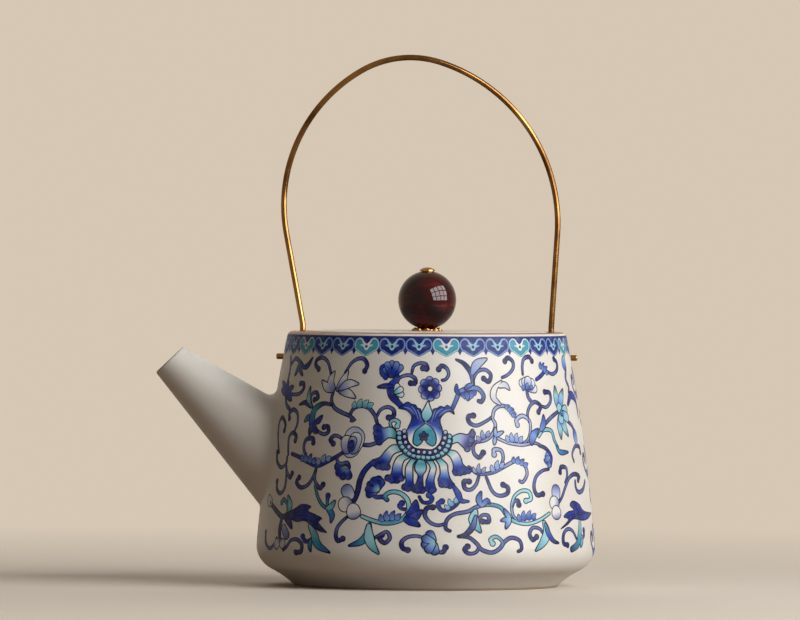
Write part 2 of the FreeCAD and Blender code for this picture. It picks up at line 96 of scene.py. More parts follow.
class Value:
    """A shader socket whose sums and products become Math nodes."""

    def __init__(self, tree, socket):
        self.tree = tree
        self.socket = socket

    def math(self, operation, *operands):
        node = self.tree.nodes.new("ShaderNodeMath")
        node.operation = operation
        for operand, socket in zip(operands, node.inputs):
            plug(self.tree, operand, socket)
        return Value(self.tree, node.outputs[0])

    def __add__(self, other):
        return self.math("ADD", self, other)

    def __radd__(self, other):
        return self.math("ADD", other, self)

    def __sub__(self, other):
        return self.math("SUBTRACT", self, other)

    def __rsub__(self, other):
        return self.math("SUBTRACT", other, self)

    def __mul__(self, other):
        return self.math("MULTIPLY", self, other)

    def __rmul__(self, other):
        return self.math("MULTIPLY", other, self)


MIX_FACTOR, MIX_FIRST, MIX_SECOND = 0, 6, 7
MIX_COLOUR = 2


class Nodes:
    """A node tree, with the one method that adds any node but a Math node."""

    def __init__(self, tree):
        self.tree = tree

    def add(self, kind, output=0, settings=None, at=None, **values):
        """Adds a node: its settings, then its sockets by name or place. Returns one output."""
        node = self.tree.nodes.new("ShaderNode" + kind)
        for name, value in (settings or {}).items():
            setattr(node, name, value)
        for name, value in values.items():
            plug(self.tree, value, node.inputs[name.replace("_", " ")])
        for place, value in (at or {}).items():
            plug(self.tree, value, node.inputs[place])
        return Value(self.tree, node.outputs[output])

    def mix(self, factor, first, second):
        """A colour between two others. Its sockets share their names, so they go by place."""
        return self.add("Mix", output=MIX_COLOUR, settings={"data_type": "RGBA"},
                        at={MIX_FACTOR: factor, MIX_FIRST: first, MIX_SECOND: second})

    def step(self, value, low, high, start=0.0, end=1.0):
        """Goes from start to end while value goes from low to high."""
        return self.add("MapRange", Value=value, From_Min=low, From_Max=high,
                        To_Min=start, To_Max=end)


class Finish(Nodes):
    """A material and the nodes that feed its shader."""

    def __init__(self, name, **constants):
        self.material = bpy.data.materials.new(name)
        self.material.use_nodes = True
        super().__init__(self.material.node_tree)
        self.shader = self.tree.nodes["Principled BSDF"]
        self.feed(**constants)

    def feed(self, **values):
        """Sets or links the shader's sockets; an underscore stands for a space."""
        for name, value in values.items():
            plug(self.tree, value, self.shader.inputs[name.replace("_", " ")])


print("shader helpers ready")

# %% [markdown]
# ## Porcelain glaze
# The pot is thrown in a warm white body under a clear glaze. Up close such a glaze isn't one flat
# colour: it pools a little deeper in tint here and there, holds a few iron specks, and its surface
# waves softly. The foot ring is wiped bare so that it doesn't stick in the kiln, and shows the
# sandy body. A thin gilt line is fired on the rim. Noise on object coordinates gives the tint,
# specks and waves their real size, and a point's height and its distance from the axis tell where
# the foot and the gilt line are.

# %% Glaze material
IVORY = srgb(240, 236, 228)
IVORY_DEEP = srgb(234, 227, 215)
BARE_CLAY = srgb(214, 192, 164)
SPECK = srgb(176, 146, 112)
GILT = srgb(176, 128, 70)
FOOT_BARE = (0.9 * MM, 0.5 * MM)
GILT_HEIGHT = (86.75 * MM, 86.8 * MM)
GILT_EDGE = (45.3 * MM, 45.4 * MM)


def glaze(name):
    """The glaze, bare under the foot and with a gilt line on the rim."""
    finish = Finish(name, Coat_Roughness=0.25, Specular_IOR_Level=0.2)
    place = finish.add("TexCoord", output="Object")
    height = finish.add("SeparateXYZ", output="Z", Vector=place)
    pooled = finish.add("TexNoise", Vector=place, Scale=38.0, Detail=3.0, Roughness=0.55)
    grain = finish.add("TexNoise", Vector=place, Scale=1150.0, Detail=2.0)
    speck = finish.step(grain, 0.72, 0.76)
    bare = finish.step(height, *FOOT_BARE)
    tint = finish.mix(finish.step(pooled, 0.35, 0.7), IVORY, IVORY_DEEP)
    tint = finish.mix(speck * 0.35, tint, SPECK)
    waves = finish.add("TexNoise", Vector=place, Scale=150.0, Detail=2.0)
    relief = waves + grain * bare * 0.5
    level = finish.add("VectorMath", settings={"operation": "MULTIPLY"}, at={0: place, 1: (1, 1, 0)})
    off = finish.add("VectorMath", output="Value", settings={"operation": "LENGTH"}, Vector=level)
    gilt = finish.step(height, *GILT_HEIGHT) * finish.step(off, *GILT_EDGE)
    finish.feed(
        Base_Color=finish.mix(gilt, finish.mix(bare, tint, BARE_CLAY), GILT),
        Metallic=gilt * 0.9,
        Roughness=finish.step(pooled, 0.3, 0.7, 0.44, 0.52) + bare * 0.3 - gilt * 0.14,
        Coat_Weight=0.1 - bare * 0.1,
        Normal=finish.add("Bump", Strength=0.12, Distance=0.25 * MM, Height=relief),
    )
    return finish.material


porcelain = glaze("ivory_glaze")
print("made", porcelain.name)

# %% [markdown]
# ## Brass
# The bail is drawn brass wire, aged to a brown gold. Drawing leaves fine lines, and handling keeps
# the metal brighter where fingers rub it. A large soft noise drives the tarnish and a fine one the
# roughness, so the wire glints unevenly as old brass does.

# %% Brass material
BRASS_BRIGHT = srgb(150, 110, 62)
BRASS_AGED = srgb(78, 50, 24)
WEAR_BLEND = 0.18


def brass(name, wear):
    """Brass that is bright where the tarnish noise stays under the wear, and brown above it."""
    finish = Finish(name, Metallic=1.0)
    place = finish.add("TexCoord", output="Object")
    tarnish = finish.add("TexNoise", Vector=place, Scale=60.0, Detail=3.0, Roughness=0.55)
    scratch = finish.add("TexNoise", Vector=place, Scale=2600.0, Detail=2.0)
    aged = finish.step(tarnish, wear - WEAR_BLEND, wear + WEAR_BLEND)
    finish.feed(
        Base_Color=finish.mix(aged, BRASS_BRIGHT, BRASS_AGED),
        Roughness=finish.step(tarnish, 0.3, 0.75, 0.08, 0.16) + scratch * 0.03,
        Normal=finish.add("Bump", Strength=0.04, Distance=0.05 * MM, Height=scratch),
    )
    return finish.material


bail_brass = brass("aged_brass", 0.48)
trim_brass = brass("bright_brass", 0.72)
print("made", bail_brass.name, trim_brass.name)

# %% [markdown]
# ## Red agate and the seal
# The bead is polished agate, so dark a red that it looks black at its edge, with soft bands from
# the stone's layers. Bands come from a wave texture bent by noise. The seal under the lid is a
# plain grey silicone ring with a dusty surface.

# %% Agate and silicone materials
AGATE_DEEP = srgb(30, 3, 5)
AGATE_RED = srgb(84, 8, 12)
AGATE_BAND = srgb(120, 32, 26)
SILICONE, SILICONE_DUST = srgb(176, 172, 166), srgb(204, 201, 195)


def agate(name):
    """Polished dark red stone with soft bands."""
    finish = Finish(name, Roughness=0.04, Specular_IOR_Level=0.24)
    place = finish.add("TexCoord", output="Object")
    bands = finish.add("TexWave", settings={"bands_direction": "Z"}, Vector=place, Scale=90.0,
                       Distortion=2.4, Detail=2.0, Detail_Scale=1.2)
    cloud = finish.add("TexNoise", Vector=place, Scale=120.0, Detail=4.0)
    body = finish.mix(finish.step(cloud, 0.35, 0.75), AGATE_DEEP, AGATE_RED)
    veins = finish.step(bands, 0.72, 0.98) * finish.step(cloud, 0.4, 0.65)
    finish.feed(Base_Color=finish.mix(veins * 0.4, body, AGATE_BAND))
    return finish.material


def silicone(name):
    """Plain grey rubber with a dusty surface."""
    finish = Finish(name, Specular_IOR_Level=0.35)
    place = finish.add("TexCoord", output="Object")
    dust = finish.add("TexNoise", Vector=place, Scale=900.0, Detail=3.0)
    finish.feed(
        Base_Color=finish.mix(dust, SILICONE, SILICONE_DUST),
        Roughness=finish.step(dust, 0.3, 0.7, 0.55, 0.72),
        Normal=finish.add("Bump", Strength=0.2, Distance=0.03 * MM, Height=dust),
    )
    return finish.material


red_agate = agate("red_agate")
grey_silicone = silicone("grey_silicone")
print("made", red_agate.name, grey_silicone.name)

# %% [markdown]
# ## Finishes on the solids
# Each solid of the frame is one real piece, so it gets one finish: glaze on what came out of the
# kiln, brass on the wire and the knob's hardware, agate on the bead and silicone on the seal.

# %% Give the solids their finishes
NODE_FINISHES = {
    "pot_body": porcelain,
    "spout": porcelain,
    "lid": porcelain,
    "bail": bail_brass,
    "knob_bead": red_agate,
    "flower_collar": trim_brass,
    "knob_screw": trim_brass,
    "brass_washer": trim_brass,
    "knob_nut": trim_brass,
    "seal_washer": grey_silicone,
}
for node_name, material in NODE_FINISHES.items():
    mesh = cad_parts[node_name].data
    mesh.materials.clear()
    mesh.materials.append(material)
    print(node_name, len(mesh.polygons), "faces, smooth:", mesh.polygons[0].use_smooth)

# %% [markdown]
# ## Eyes of the flower collar
# The stamped collar under the bead has an eye of twisted wire on each petal, with a grain of brass
# melted into it. A goldsmith coils a fine wire round a pin, cuts the rings apart and solders them
# on. Here one ring is a spun circle, a small ball is its grain, and the pair is turned round the
# collar.

# %% Wire eyes and grains
EYE_COUNT = 8
EYE_RADIUS, EYE_WIRE, GRAIN = 0.95 * MM, 0.27 * MM, 0.55 * MM
EYE_OFF, EYE_HEIGHT = 4.1 * MM, 88.05 * MM
EYE_SLOPE = math.radians(14)
SAME_PLACE = 0.001 * MM


def all_of(shape):
    """Every vertex, edge and face of a bmesh."""
    return [*shape.verts, *shape.edges, *shape.faces]


def repeat_round(shape, count):
    """Repeats a shape round the pot's axis until there are count of it."""
    bmesh.ops.spin(shape, geom=all_of(shape), cent=(0, 0, 0), axis=(0, 0, 1), use_duplicate=True,
                   angle=2 * math.pi * (count - 1) / count, steps=count - 1)


def add_piece(name, shape, material):
    """Makes a finished bmesh an object of the scene with one material."""
    mesh = bpy.data.meshes.new(name)
    shape.to_mesh(mesh)
    shape.free()
    mesh.materials.append(material)
    piece = bpy.data.objects.new(name, mesh)
    scene.collection.objects.link(piece)
    print(name, len(mesh.polygons), "faces")
    return piece


eyes = bmesh.new()
upright = Matrix.Translation((EYE_RADIUS, 0, 0)) @ Matrix.Rotation(math.radians(90), 4, "X")
bmesh.ops.create_circle(eyes, segments=10, radius=EYE_WIRE, matrix=upright)
bmesh.ops.spin(eyes, geom=all_of(eyes), cent=(0, 0, 0), axis=(0, 0, 1), angle=2 * math.pi, steps=24,
               use_merge=True)
bmesh.ops.remove_doubles(eyes, verts=eyes.verts, dist=SAME_PLACE)
bmesh.ops.create_uvsphere(eyes, u_segments=14, v_segments=10, radius=GRAIN)
bmesh.ops.recalc_face_normals(eyes, faces=eyes.faces)
seat = Matrix.Translation((EYE_OFF, 0, EYE_HEIGHT)) @ Matrix.Rotation(EYE_SLOPE, 4, "Y")
bmesh.ops.transform(eyes, verts=eyes.verts, matrix=seat)
repeat_round(eyes, EYE_COUNT)
for face in eyes.faces:
    face.smooth = True
collar_eyes = add_piece("collar_eyes", eyes, trim_brass)
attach(collar_eyes, "lid")

# %% [markdown]
# ## The painted wall
# The ornament is painted by hand in cobalt and turquoise on the bowed wall and a little way down
# its round heel. To follow the painter, the wall is unrolled into a flat sheet: across is the
# distance round the pot, up is the height. Strokes are drawn flat and then wrapped back on the
# wall, a few hundredths of a millimetre proud of the glaze, as enamel is.

# %% The wall and its unrolled sheet
RIM_RADIUS, RIM_HEIGHT = 47.5 * MM, 87.2 * MM
BELLY_RADIUS, BELLY_HEIGHT = 58.0 * MM, 14.5 * MM
WALL_BOW, HEEL_ROUND = 600.0 * MM, 9.0 * MM
SHEET_RADIUS = 54.0 * MM

rim_point = Vector((RIM_RADIUS, RIM_HEIGHT))
belly_point = Vector((BELLY_RADIUS, BELLY_HEIGHT))
wall_chord = rim_point - belly_point
wall_inward = Vector((-wall_chord.y, wall_chord.x)).normalized()
bow_depth = math.sqrt(WALL_BOW ** 2 - wall_chord.length_squared / 4)
bow_centre = (rim_point + belly_point) / 2 + wall_inward * bow_depth
heel_centre = belly_point + (bow_centre - belly_point).normalized() * HEEL_ROUND


def wall_radius(height):
    """The pot's outer radius at a height on its bowed wall or on the round heel below."""
    on_heel = height < BELLY_HEIGHT
    centre, bend = (heel_centre, HEEL_ROUND) if on_heel else (bow_centre, WALL_BOW)
    return centre.x + math.sqrt(bend ** 2 - (height - centre.y) ** 2)


mid_height = (RIM_HEIGHT + BELLY_HEIGHT) / 2
print(f"wall radius at mid height {wall_radius(mid_height) / MM:.1f} mm")

# %% [markdown]
# ## Drawing grid
# The drawing is laid out on two squared sheets held in front of the pot, left and right of its
# axis, with their corner at the upper left. A spot on a sheet is carried along the line of sight
# on to the wall, and its place there is measured round the pot.

# %% From the squared sheets to the wall
SQUARE = 3.43 * MM
SHEET_TOP = 87.6 * MM
LEFT_SHEET = -60.7 * MM
RIGHT_SHEET = -0.7 * MM
SIGHT_ROUNDS = 4


def on_wall(corner, x, y):
    """A spot in squares from a sheet's corner, as a place on the unrolled wall.

    The depth at which a line of sight meets the wall depends on the height there, so the two are
    worked out in turns.
    """
    held = Vector((corner + x * SQUARE, 0, SHEET_TOP - y * SQUARE))
    place, depth = held, 0.0
    for _ in range(SIGHT_ROUNDS):
        place = held + (camera.location - held) * (depth / CAMERA_DISTANCE)
        depth = math.sqrt(max(wall_radius(place.z) ** 2 - place.x ** 2, 0.0))
    angle = math.atan2(place.x, depth)
    return Vector((SHEET_RADIUS * angle, place.z))


def held_sheet(corner):
    """A squared sheet as a function from its squares to places on the unrolled wall."""
    return lambda x, y: on_wall(corner, x, y)


left, right = held_sheet(LEFT_SHEET), held_sheet(RIGHT_SHEET)
print("right sheet's corner", [round(v / MM, 1) for v in right(0, 0)])

# %% [markdown]
# ## The brush
# A stroke is a flat ribbon along a smooth line. Its half-widths say how hard the brush was pressed
# from start to end, and its two ends are rounded as a wet tip leaves them. A curve object with a
# straight nib as its bevel makes the ribbon. Each stroke has a dark ribbon below and a narrower
# one in colour on top, which gives the thin ink outline of the real painting.

# %% Nibs
FINE_ACROSS, BROAD_ACROSS = 3, 5
BROAD_FROM = 0.9 * MM


def make_nib(name, points):
    """A straight line across, whose points are spread evenly from -1 to 1."""
    data = bpy.data.curves.new(name, "CURVE")
    spline = data.splines.new("POLY")
    spline.points.add(points - 1)
    for i, point in enumerate(spline.points):
        point.co = (2 * i / (points - 1) - 1, 0, 0, 1)
    nib = bpy.data.objects.new(name, data)
    scene.collection.objects.link(nib)
    return nib


print("nibs of", FINE_ACROSS, "and", BROAD_ACROSS, "points")

# %% Lines
POINTS_BETWEEN_KNOTS = 14
NO_LENGTH = 1e-9
THINNEST = 0.004 * MM


def smooth_line(knots):
    """A smooth line through the knots as closely spaced points.

    Each stretch is a Bezier curve that leaves a knot along the line between the knots beside it.
    """
    ends = [knots[0] * 2 - knots[1], *knots, knots[-1] * 2 - knots[-2]]
    line = []
    for before, first, last, after in zip(ends, ends[1:], ends[2:], ends[3:]):
        pull, push = (last - before) / 6, (after - first) / 6
        corners = [corner.to_3d() for corner in (first, first + pull, last - push, last)]
        line += interpolate_bezier(*corners, POINTS_BETWEEN_KNOTS)[:-1]
    return [point.to_2d() for point in line] + [knots[-1]]


def length_of(line):
    """The length of a line of points."""
    return sum((b - a).length for a, b in zip(line, line[1:]))


def between(values, share):
    """The value at a share of the way along an even list of numbers or colours."""
    spot = share * (len(values) - 1)
    i = min(int(spot), len(values) - 2)
    first, last = values[i], values[i + 1]
    if isinstance(first, tuple):
        return tuple(a + (b - a) * (spot - i) for a, b in zip(first, last))
    return first + (last - first) * (spot - i)


def walk(line, distances):
    """The points at the given distances along a line."""
    found, i, gone = [], 0, 0.0
    for distance in distances:
        while i < len(line) - 2 and gone + (line[i + 1] - line[i]).length < distance:
            gone += (line[i + 1] - line[i]).length
            i += 1
        part = line[i + 1] - line[i]
        share = (distance - gone) / max(part.length, NO_LENGTH)
        found.append(line[i] + part * min(share, 1.0))
    return found


def stretched(line, extra):
    """A line made longer at both ends."""
    first = line[0] + (line[0] - line[1]).normalized() * extra
    last = line[-1] + (line[-1] - line[-2]).normalized() * extra
    return [first, *line[1:-1], last]


def rounded(width, near, cap):
    """A half-width at a distance from a round end."""
    share = min(near / cap, 1.0)
    return max(width * math.sqrt(max(1 - (1 - share) ** 2, 0.0)), THINNEST)


print("line helpers ready")

# %% [markdown]
# ## The canvas
# All strokes of a drawing are splines of two curve objects, one for each nib, because two curves
# become a mesh far sooner than hundreds. A broad petal is a panel instead, a grid laid between its
# two edges. Each layer lies a few thousandths of a millimetre above the one below, so that a later
# stroke covers an earlier one as paint does.

# %% Canvas
OUTLINE, PANEL_LINE = 0.36 * MM, 0.22 * MM
FIRST_LIFT, LAYER_LIFT = 0.02 * MM, 0.007 * MM
STROKE_STEP, CLOSEST = 0.45 * MM, 0.01 * MM
LEAST_CAP, CAP_SHARES = 0.05 * MM, (0.12, 0.4)
LEAST_STEPS, LEAST_PANEL_STEPS = 4, 6
PANEL_ACROSS = 5
INK = srgb(9, 10, 46)


class Canvas:
    """A flat sheet of painted ribbons and panels, and the colour at each of their points."""

    def __init__(self):
        self.curves = {}
        self.colours = {}
        for across in (FINE_ACROSS, BROAD_ACROSS):
            data = bpy.data.curves.new("strokes", "CURVE")
            data.dimensions = "2D"
            data.bevel_mode = "OBJECT"
            data.bevel_object = make_nib("nib", across)
            self.curves[across] = data
            self.colours[across] = []
        self.panels = []

    def ribbon(self, places, widths, colours, lift):
        """Adds one ribbon as a spline of the curve that has the right nib."""
        across = BROAD_ACROSS if max(widths) > BROAD_FROM else FINE_ACROSS
        spline = self.curves[across].splines.new("POLY")
        spline.points.add(len(places) - 1)
        for point, place, width in zip(spline.points, places, widths):
            point.co = (place.x, place.y, lift, 1)
            point.radius = width
        self.colours[across] += [colour for colour in colours for _ in range(across)]

    def lift_off(self):
        """The ribbons and panels as one flat bmesh with a colour at each point; the curves go."""
        sheet = bmesh.new()
        shades = []
        for across, data in self.curves.items():
            item = bpy.data.objects.new("strokes", data)
            scene.collection.objects.link(item)
            shown = item.evaluated_get(bpy.context.evaluated_depsgraph_get())
            mesh = bpy.data.meshes.new_from_object(shown)
            sheet.from_mesh(mesh)
            shades += self.colours[across]
            bpy.data.objects.remove(data.bevel_object)
            bpy.data.objects.remove(item)
            bpy.data.meshes.remove(mesh)
        paint = sheet.verts.layers.float_color.new("paint")
        for point, shade in zip(sheet.verts, shades, strict=True):
            point[paint] = shade
        for rows, shades, lift in self.panels:
            last = len(shades) - 1
            grid = bmesh.ops.create_grid(sheet, x_segments=last, y_segments=PANEL_ACROSS, size=1.0)
            for point in grid["verts"]:
                along, across = round((point.co.x + 1) / 2 * last), (point.co.y + 1) / 2
                point.co = rows[0][along].lerp(rows[1][along], across).to_3d()
                point.co.z = lift
                point[paint] = shades[along]
        return sheet

    def panel(self, first, second, colours, layer, inked=(True, True)):
        """Fills the space between two edges and draws an ink line on them."""
        lines = [smooth_line(first), smooth_line(second)]
        lengths = [length_of(line) for line in lines]
        count = max(int(max(lengths) / STROKE_STEP), LEAST_PANEL_STEPS)
        shares = [k / count for k in range(count + 1)]
        rows = [walk(line, [length * share for share in shares])
                for line, length in zip(lines, lengths)]
        lift = FIRST_LIFT + LAYER_LIFT * 2 * layer
        loop = [*rows[0], *reversed(rows[1])]
        turned = sum(a.x * b.y - b.x * a.y for a, b in zip(loop, [*loop[1:], loop[0]])) < 0
        shades = [between(colours, share) for share in shares]
        self.panels.append((rows[::-1] if turned else rows, shades, lift))
        for row, ink in zip(rows, inked):
            if ink:
                self.ribbon(row, [PANEL_LINE] * len(row), [INK] * len(row), lift + LAYER_LIFT)

    def stroke(self, knots, widths, colours, layer=0, outline=OUTLINE):
        """Paints one stroke: an ink ribbon, a little larger all round, and the colour on top.

        Widths are half-widths in millimetres, spread evenly along the stroke.
        """
        drawn = smooth_line(knots)
        for level, spread in enumerate((outline, 0.0)):
            if level == 0 and not outline:
                continue
            line = stretched(drawn, spread)
            length = length_of(line)
            half = [width * MM + spread for width in widths]
            caps = [min(max(end, LEAST_CAP), length / 2) for end in (half[0], half[-1])]
            count = max(int(length / STROKE_STEP), LEAST_STEPS)
            marks = {length * k / count for k in range(count + 1)}
            for share in CAP_SHARES:
                marks |= {caps[0] * share, length - caps[1] * share}
            marks = sorted(marks)
            marks = [mark for mark, last in zip(marks, [-1.0, *marks]) if mark - last > CLOSEST]
            sizes = []
            for mark in marks:
                size = between(half, mark / length)
                ends = rounded(size, mark, caps[0]), rounded(size, length - mark, caps[1])
                sizes.append(min(ends))
            shades = [between(colours, mark / length) if level else INK for mark in marks]
            lift = FIRST_LIFT + LAYER_LIFT * (2 * layer + level)
            self.ribbon(walk(line, marks), sizes, shades, lift)


print("brush ready, outline", OUTLINE / MM, "mm")

# %% [markdown]
# ## The painter's marks
# A scroll ornament is built from a few marks that the painter repeats: a vine, a hooked tendril
# with a heavy drop at its tip, a pointed leaf, a comb of small flames, a fan like a shell and a
# round petal. Each is one or more brush strokes, so a drawing is a list of marks.

# %% Pigments
INDIGO, INDIGO_PALE = srgb(34, 38, 104), srgb(94, 108, 176)
ROYAL, COBALT, SKY = srgb(18, 34, 118), srgb(30, 60, 168), srgb(118, 156, 220)
TEAL, TEAL_PALE = srgb(62, 154, 180), srgb(158, 214, 222)
PALE, BLANK = srgb(178, 188, 224), srgb(240, 237, 234)
STEM = (INDIGO, INDIGO_PALE, INDIGO)
TENDRIL = (INDIGO, INDIGO, INDIGO_PALE, INDIGO_PALE, INDIGO)
canvas = Canvas()
print("pigments ready")

# %% Single marks
HOOK_PRESS, HOOK_DROP = (0.5, 0.5, 0.4, 0.32, 0.28, 0.22), 0.74
VINE_PRESS = (0.7, 0.95, 0.95, 0.7)
LEAF_PRESS = (0.25, 0.7, 1.0, 0.9, 0.55, 0.05)
PETAL_PRESS = (0.7, 1.0, 1.0)
DAB_PRESS = (0.4, 0.75, 1.0, 1.0)
RIB_PRESS = (0.08, 0.2, 0.08)
DOT_LEAN = Vector((0.3, 1.0)).normalized()


def laid(sheet, spots):
    """Spots of a sheet as places on the unrolled wall."""
    return [sheet(x, y) for x, y in spots]


def pressed(width, press):
    """Half-widths along a stroke, from its greatest one and how hard the brush is pressed."""
    return [width * share for share in press]


def toward(start, heading, length):
    """The spot that lies a given way and distance off."""
    turn = math.radians(heading)
    return start + Vector((math.cos(turn), math.sin(turn))) * length


def dot(centre, size, colours, layer):
    """A round spot."""
    half = DOT_LEAN * size * MM
    canvas.stroke([centre - half, centre, centre + half], (size, size), colours, layer)


def dab(start, heading, length, width, colours, layer=2):
    """A short press of the brush, thin at its start and round at its end."""
    knots = [toward(start, heading, length * share) for share in (0.0, 0.5, 1.0)]
    canvas.stroke(knots, pressed(width, DAB_PRESS), colours, layer)


def hook(sheet, spots, colours=TENDRIL, layer=0):
    """A tendril, from the round drop at its tip down to its root."""
    knots = laid(sheet, spots)
    canvas.stroke(knots, HOOK_PRESS, colours, layer)
    dot(knots[0], HOOK_DROP, (colours[0], colours[0]), layer)


def vine(sheet, spots, colours=STEM, width=0.45, layer=0):
    """A stem."""
    canvas.stroke(laid(sheet, spots), pressed(width, VINE_PRESS), colours, layer)


def leaf(sheet, spots, width, colours, layer=1):
    """A pointed leaf from its stalk to its tip."""
    canvas.stroke(laid(sheet, spots), pressed(width, LEAF_PRESS), colours, layer)


def oval(sheet, first, last, width, colours, layer):
    """A round petal from its base to its edge."""
    start, end = laid(sheet, (first, last))
    canvas.stroke([start, start.lerp(end, 0.5), end], pressed(width, PETAL_PRESS), colours, layer)


print("single marks ready")

# %% Marks made of several strokes
FLAME_PRESS, FLAME_LINE = (0.8, 1.0, 0.9, 0.5, 0.03), 0.22 * MM
FLAME_WIDE, FLAME_NARROWEST = 0.66, 0.5
FLAME_FAN, FLAME_INSET = 60, 0.12
FLAME_SHORT, FLAME_SWELL = 0.95, 0.35
FLAME_WAIST, FLAME_BEND, FLAME_TIP_BEND = 0.55, 10, -6
SHELL_CLOSE = 1.75


def blade(sheet, upper, lower, colours, layer, ribs):
    """A broad leaf between two edges, with ink ribs on it."""
    canvas.panel(laid(sheet, upper), laid(sheet, lower), colours, layer)
    for rib in ribs:
        canvas.stroke(laid(sheet, rib), RIB_PRESS, (INK, INK), layer + 1, outline=0)


def spray(sheet, root, hub, tips, width, colours, layers=1):
    """Leaves from one root to several tips, each bent by way of a hub, on layers in turn."""
    for k, tip in enumerate(tips):
        bend = ((hub[0] + tip[0]) / 2, (hub[1] + tip[1]) / 2)
        leaf(sheet, [root, bend, tip], width, colours, 1 + k % layers)


def comb(sheet, first, last, heading, length, count, colours=(SKY, COBALT), layer=2):
    """A lobed leaf: pointed flames side by side along a line, the longest in the middle."""
    start, end = laid(sheet, (first, last))
    width = max((end - start).length / count / MM * FLAME_WIDE, FLAME_NARROWEST)
    for k in range(count):
        share = k / (count - 1)
        tall = length * MM * (FLAME_SHORT + FLAME_SWELL * math.sin(math.pi * share))
        turn = heading + FLAME_FAN * (0.5 - share)
        root = start.lerp(end, FLAME_INSET + (1 - 2 * FLAME_INSET) * share)
        waist = toward(root, turn + FLAME_BEND, tall * FLAME_WAIST)
        knots = [root, waist, toward(root, turn + FLAME_TIP_BEND, tall)]
        canvas.stroke(knots, pressed(width, FLAME_PRESS), colours, layer + k % 2, FLAME_LINE)


def shell(sheet, root, heading, length, spread, count, colours, layer=2):
    """A fan of dabs from one root."""
    start = sheet(*root)
    width = length * math.radians(spread) / count / SHELL_CLOSE
    for k in range(count):
        turn = heading + spread * (k / (count - 1) - 0.5)
        dab(start, turn, length * MM, width, colours, layer + k % 2)


def count_strokes():
    """How many ribbons the drawing has."""
    return sum(len(curve.splines) for curve in canvas.curves.values())


print("marks ready")

# %% [markdown]
# ## The lotus
# One large lotus faces the viewer. It is drawn about its own axis: a floret on a thread, two dark
# wings, a turquoise heart in a bare vase, two rows of beads and a fan of petals that run from
# turquoise through white to cobalt. It has the finest drawing on the pot, so it gets a sheet of its
# own, ruled ten times as fine, and its spots lie on the corners or middles of those small squares.

# %% Lotus sheet and its petals
LOTUS_ACROSS, LOTUS_DOWN = -6.0, 3.5
FINE_SQUARES = 10
FRILL_PRESS, FRILL_LOBE = (0.4, 0.75, 0.75, 0.4), 0.95
PETAL_FADE = (TEAL, TEAL_PALE, BLANK, SKY, COBALT, ROYAL)
BUD_FADE = (TEAL_PALE, TEAL, TEAL_PALE, COBALT, ROYAL, ROYAL)
# Each petal: its two edges from the beads to the tip, then the lobes of its frill.
FAN = (
    (((36, 80), (28, 80), (21, 86), (16, 92), (9, 95)),
     ((38, 86), (30, 89), (26, 96), (24, 102)),
     ((10, 98), (14, 101), (19, 102), (23, 102))),
    (((81, 88), (86, 92), (89, 99), (89, 105)),
     ((83, 84), (92, 86), (97, 93), (99, 99), (106, 104)),
     ((92, 107), (96, 107), (100, 106), (104, 105))),
    (((40, 88), (33, 92), (29, 100), (27, 109), (22, 111)),
     ((47, 92), (40, 96), (38, 104), (39, 113)),
     ((24, 113), (28, 115), (33, 115), (37, 113))),
    (((71, 94), (75, 100), (76, 108), (74, 114), (75, 118)),
     ((77, 93), (83, 99), (84, 106), (86, 113), (90, 119)),
     ((78, 119), (82, 119), (86, 120))),
    (((47, 93), (42, 101), (41, 110), (42, 116), (39, 121)),
     ((53, 94), (49, 100), (49, 110), (49, 116), (50, 121)),
     ((41, 122), (44, 123), (48, 122))),
    (((62, 96), (66, 102), (64, 110), (62, 116), (62, 121)),
     ((68, 94), (72, 102), (71, 110), (70, 116), (72, 124)),
     ((64, 123), (68, 125))),
    (((55, 93), (51, 99), (51, 105), (54, 110), (53, 116), (50, 122)),
     ((59, 93), (62, 99), (62, 105), (59, 110), (59, 118), (60, 124)),
     ((51, 124), (54, 125), (58, 125))),
)


def lotus(x, y):
    """A spot of the lotus sheet, in fine squares from its corner."""
    return right(LOTUS_ACROSS + x / FINE_SQUARES, LOTUS_DOWN + y / FINE_SQUARES)


def lotus_panel(edges, colours, layer, inked=(True, True)):
    """A form of the lotus between its two edges."""
    canvas.panel(*[laid(lotus, edge) for edge in edges], colours, layer, inked)


def frilled(first, second, lobes, fade, layer):
    """A petal between two edges, with a dark frill of round lobes along its tip."""
    band = laid(lotus, [first[-1], *lobes, second[-1]])
    canvas.stroke(band, FRILL_PRESS, fade[-2:], layer)
    for k, lobe in enumerate(laid(lotus, lobes)):
        dot(lobe, FRILL_LOBE, fade[-2:], layer + k % 2)
    lotus_panel((first, second), fade, layer + 2)


for k, petal in enumerate(FAN):
    frilled(*petal, BUD_FADE if petal is FAN[-1] else PETAL_FADE, k // 2)
print("strokes so far", count_strokes())

# %% Arms
# Each arm: its two edges from the wing to the tip, then the lobes of its frill.
ARMS = (
    (((34, 69), (29, 63), (24, 62), (19, 63), (15, 59), (11, 60)),
     ((33, 74), (28, 73), (24, 73), (20, 76), (17, 79)),
     ((12, 63), (12, 68), (13, 73), (15, 77))),
    (((86, 73), (90, 70), (96, 68), (103, 69), (106, 66), (108, 64)),
     ((87, 79), (93, 77), (96, 79), (99, 82), (102, 84)),
     ((108, 68), (107, 74), (104, 79), (103, 83))),
)
ARM_FADES = ((TEAL, TEAL, TEAL_PALE, SKY, COBALT, ROYAL),
             (TEAL_PALE, TEAL_PALE, PALE, INDIGO_PALE, INDIGO))
for arm, fade in zip(ARMS, ARM_FADES):
    frilled(*arm, fade, 0)
print("strokes so far", count_strokes())

